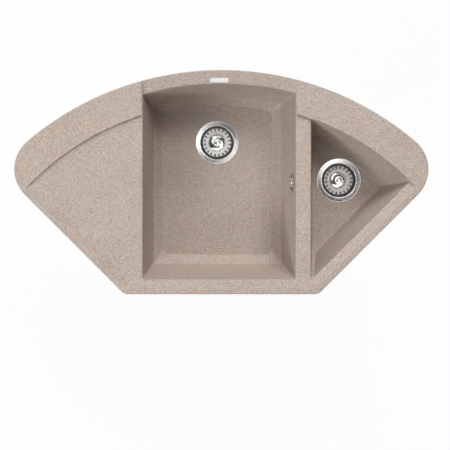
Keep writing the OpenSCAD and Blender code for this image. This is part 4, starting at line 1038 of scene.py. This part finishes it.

# %% [markdown]
# ## The lamps
#
# Shade in the photograph says where its light comes from: the drainer and the slopes are even, the
# bowls' back and left walls are dark and their front walls light. A ring of eight soft panels at
# 30 and 50 degrees does that, strongest from behind and from the front left. Steel and chrome show
# whatever stands round them, and in the photograph they show a few bright strips. Seven cards do
# that. They are seen in reflections only, and the four high panels are left out of reflections,
# because they would fill the flanges with white. To find the panels' powers, each was rendered
# alone, a small fit weighed those pictures against the shades in the photograph, and the weights
# were then rounded and changed.

# %% The lamps
def panel(name, azimuth, elevation, distance, size, power, aim, colour=(1, 1, 1), **seen):
    """An area lamp that looks at a point from a direction. seen tells which rays find it."""
    lamp = bpy.data.lights.new(name, "AREA")
    lamp.shape = "RECTANGLE"
    lamp.size, lamp.size_y = size
    lamp.energy = power
    lamp.color = colour
    holder = bpy.data.objects.new(name, lamp)
    bpy.context.scene.collection.objects.link(holder)
    turn, rise = math.radians(azimuth), math.radians(elevation)
    away = Vector((math.cos(turn) * math.cos(rise), math.sin(turn) * math.cos(rise), math.sin(rise)))
    holder.location = Vector(aim) + away * distance
    holder.rotation_mode = "QUATERNION"
    holder.rotation_quaternion = (-away).to_track_quat("-Z", "Y")
    holder.visible_camera = False
    for key, value in seen.items():
        setattr(holder, key, value)


# Azimuth from the sink's right-hand side, elevation and power in watts
ROOM = [(60, 50, 104), (90, 30, 107), (90, 50, 24), (150, 50, 34), (180, 30, 22), (225, 30, 100),
        (240, 50, 37), (270, 30, 14)]
ROOM_DISTANCE, ROOM_SIZE, ROOM_AIM = 5.0, (1.6, 1.6), (0.0, 0.3, 0.0)
LAMP_COLOUR = (0.99, 0.972, 0.955)
LOW_PANEL = 40
for number, (azimuth, elevation, power) in enumerate(ROOM):
    panel(f"panel_{number + 1}", azimuth, elevation, ROOM_DISTANCE, ROOM_SIZE, power, ROOM_AIM,
          colour=LAMP_COLOUR, visible_glossy=elevation < LOW_PANEL)

# Name, azimuth, elevation, width, height and power in watts
CARDS = [("front", 280, 60, 3.0, 1.0, 13.0), ("front_right", 330, 66, 1.2, 0.7, 4.0),
         ("right", 5, 71, 0.7, 0.5, 2.2), ("back", 95, 58, 2.2, 0.7, 8.0),
         ("back_left", 135, 68, 1.2, 0.6, 2.4), ("left", 165, 72, 0.7, 0.5, 1.6),
         ("top", 20, 82, 0.8, 0.8, 12.0)]
CARD_DISTANCE, BETWEEN_DRAINS = 3.0, (0.17, 0.32, -0.17)
for name, azimuth, elevation, width, height, power in CARDS:
    panel(name + "_card", azimuth, elevation, CARD_DISTANCE, (width, height), power, BETWEEN_DRAINS,
          visible_diffuse=False)
print("lamps:", len(ROOM), "panels and", len(CARDS), "cards")

# %% [markdown]
# ## The surroundings
#
# What is left of the room is almost dark, so that metal has something deep to set its highlights
# against. The camera itself sees plain white beyond the floor's edge.

# %% The world
WORLD_LIGHT, WORLD_MIRRORED = 0.01, 0.06
world = bpy.data.worlds.new("studio")
world.use_nodes = True
sky = world.node_tree
dome = sky.nodes["Background"]
dome.inputs["Color"].default_value = (1, 1, 1, 1)
rays = add(sky, "ShaderNodeLightPath")
dim = add(sky, "ShaderNodeMapRange", {"To Min": WORLD_LIGHT, "To Max": WORLD_MIRRORED})
join(sky, rays, "Is Glossy Ray", dim, "Value")
seen = add(sky, "ShaderNodeMath", operation="MAXIMUM")
join(sky, dim, "Result", seen, 0)
join(sky, rays, "Is Camera Ray", seen, 1)
join(sky, seen, "Value", dome, "Strength")
bpy.context.scene.world = world
bpy.context.scene.view_settings.view_transform = "Standard"
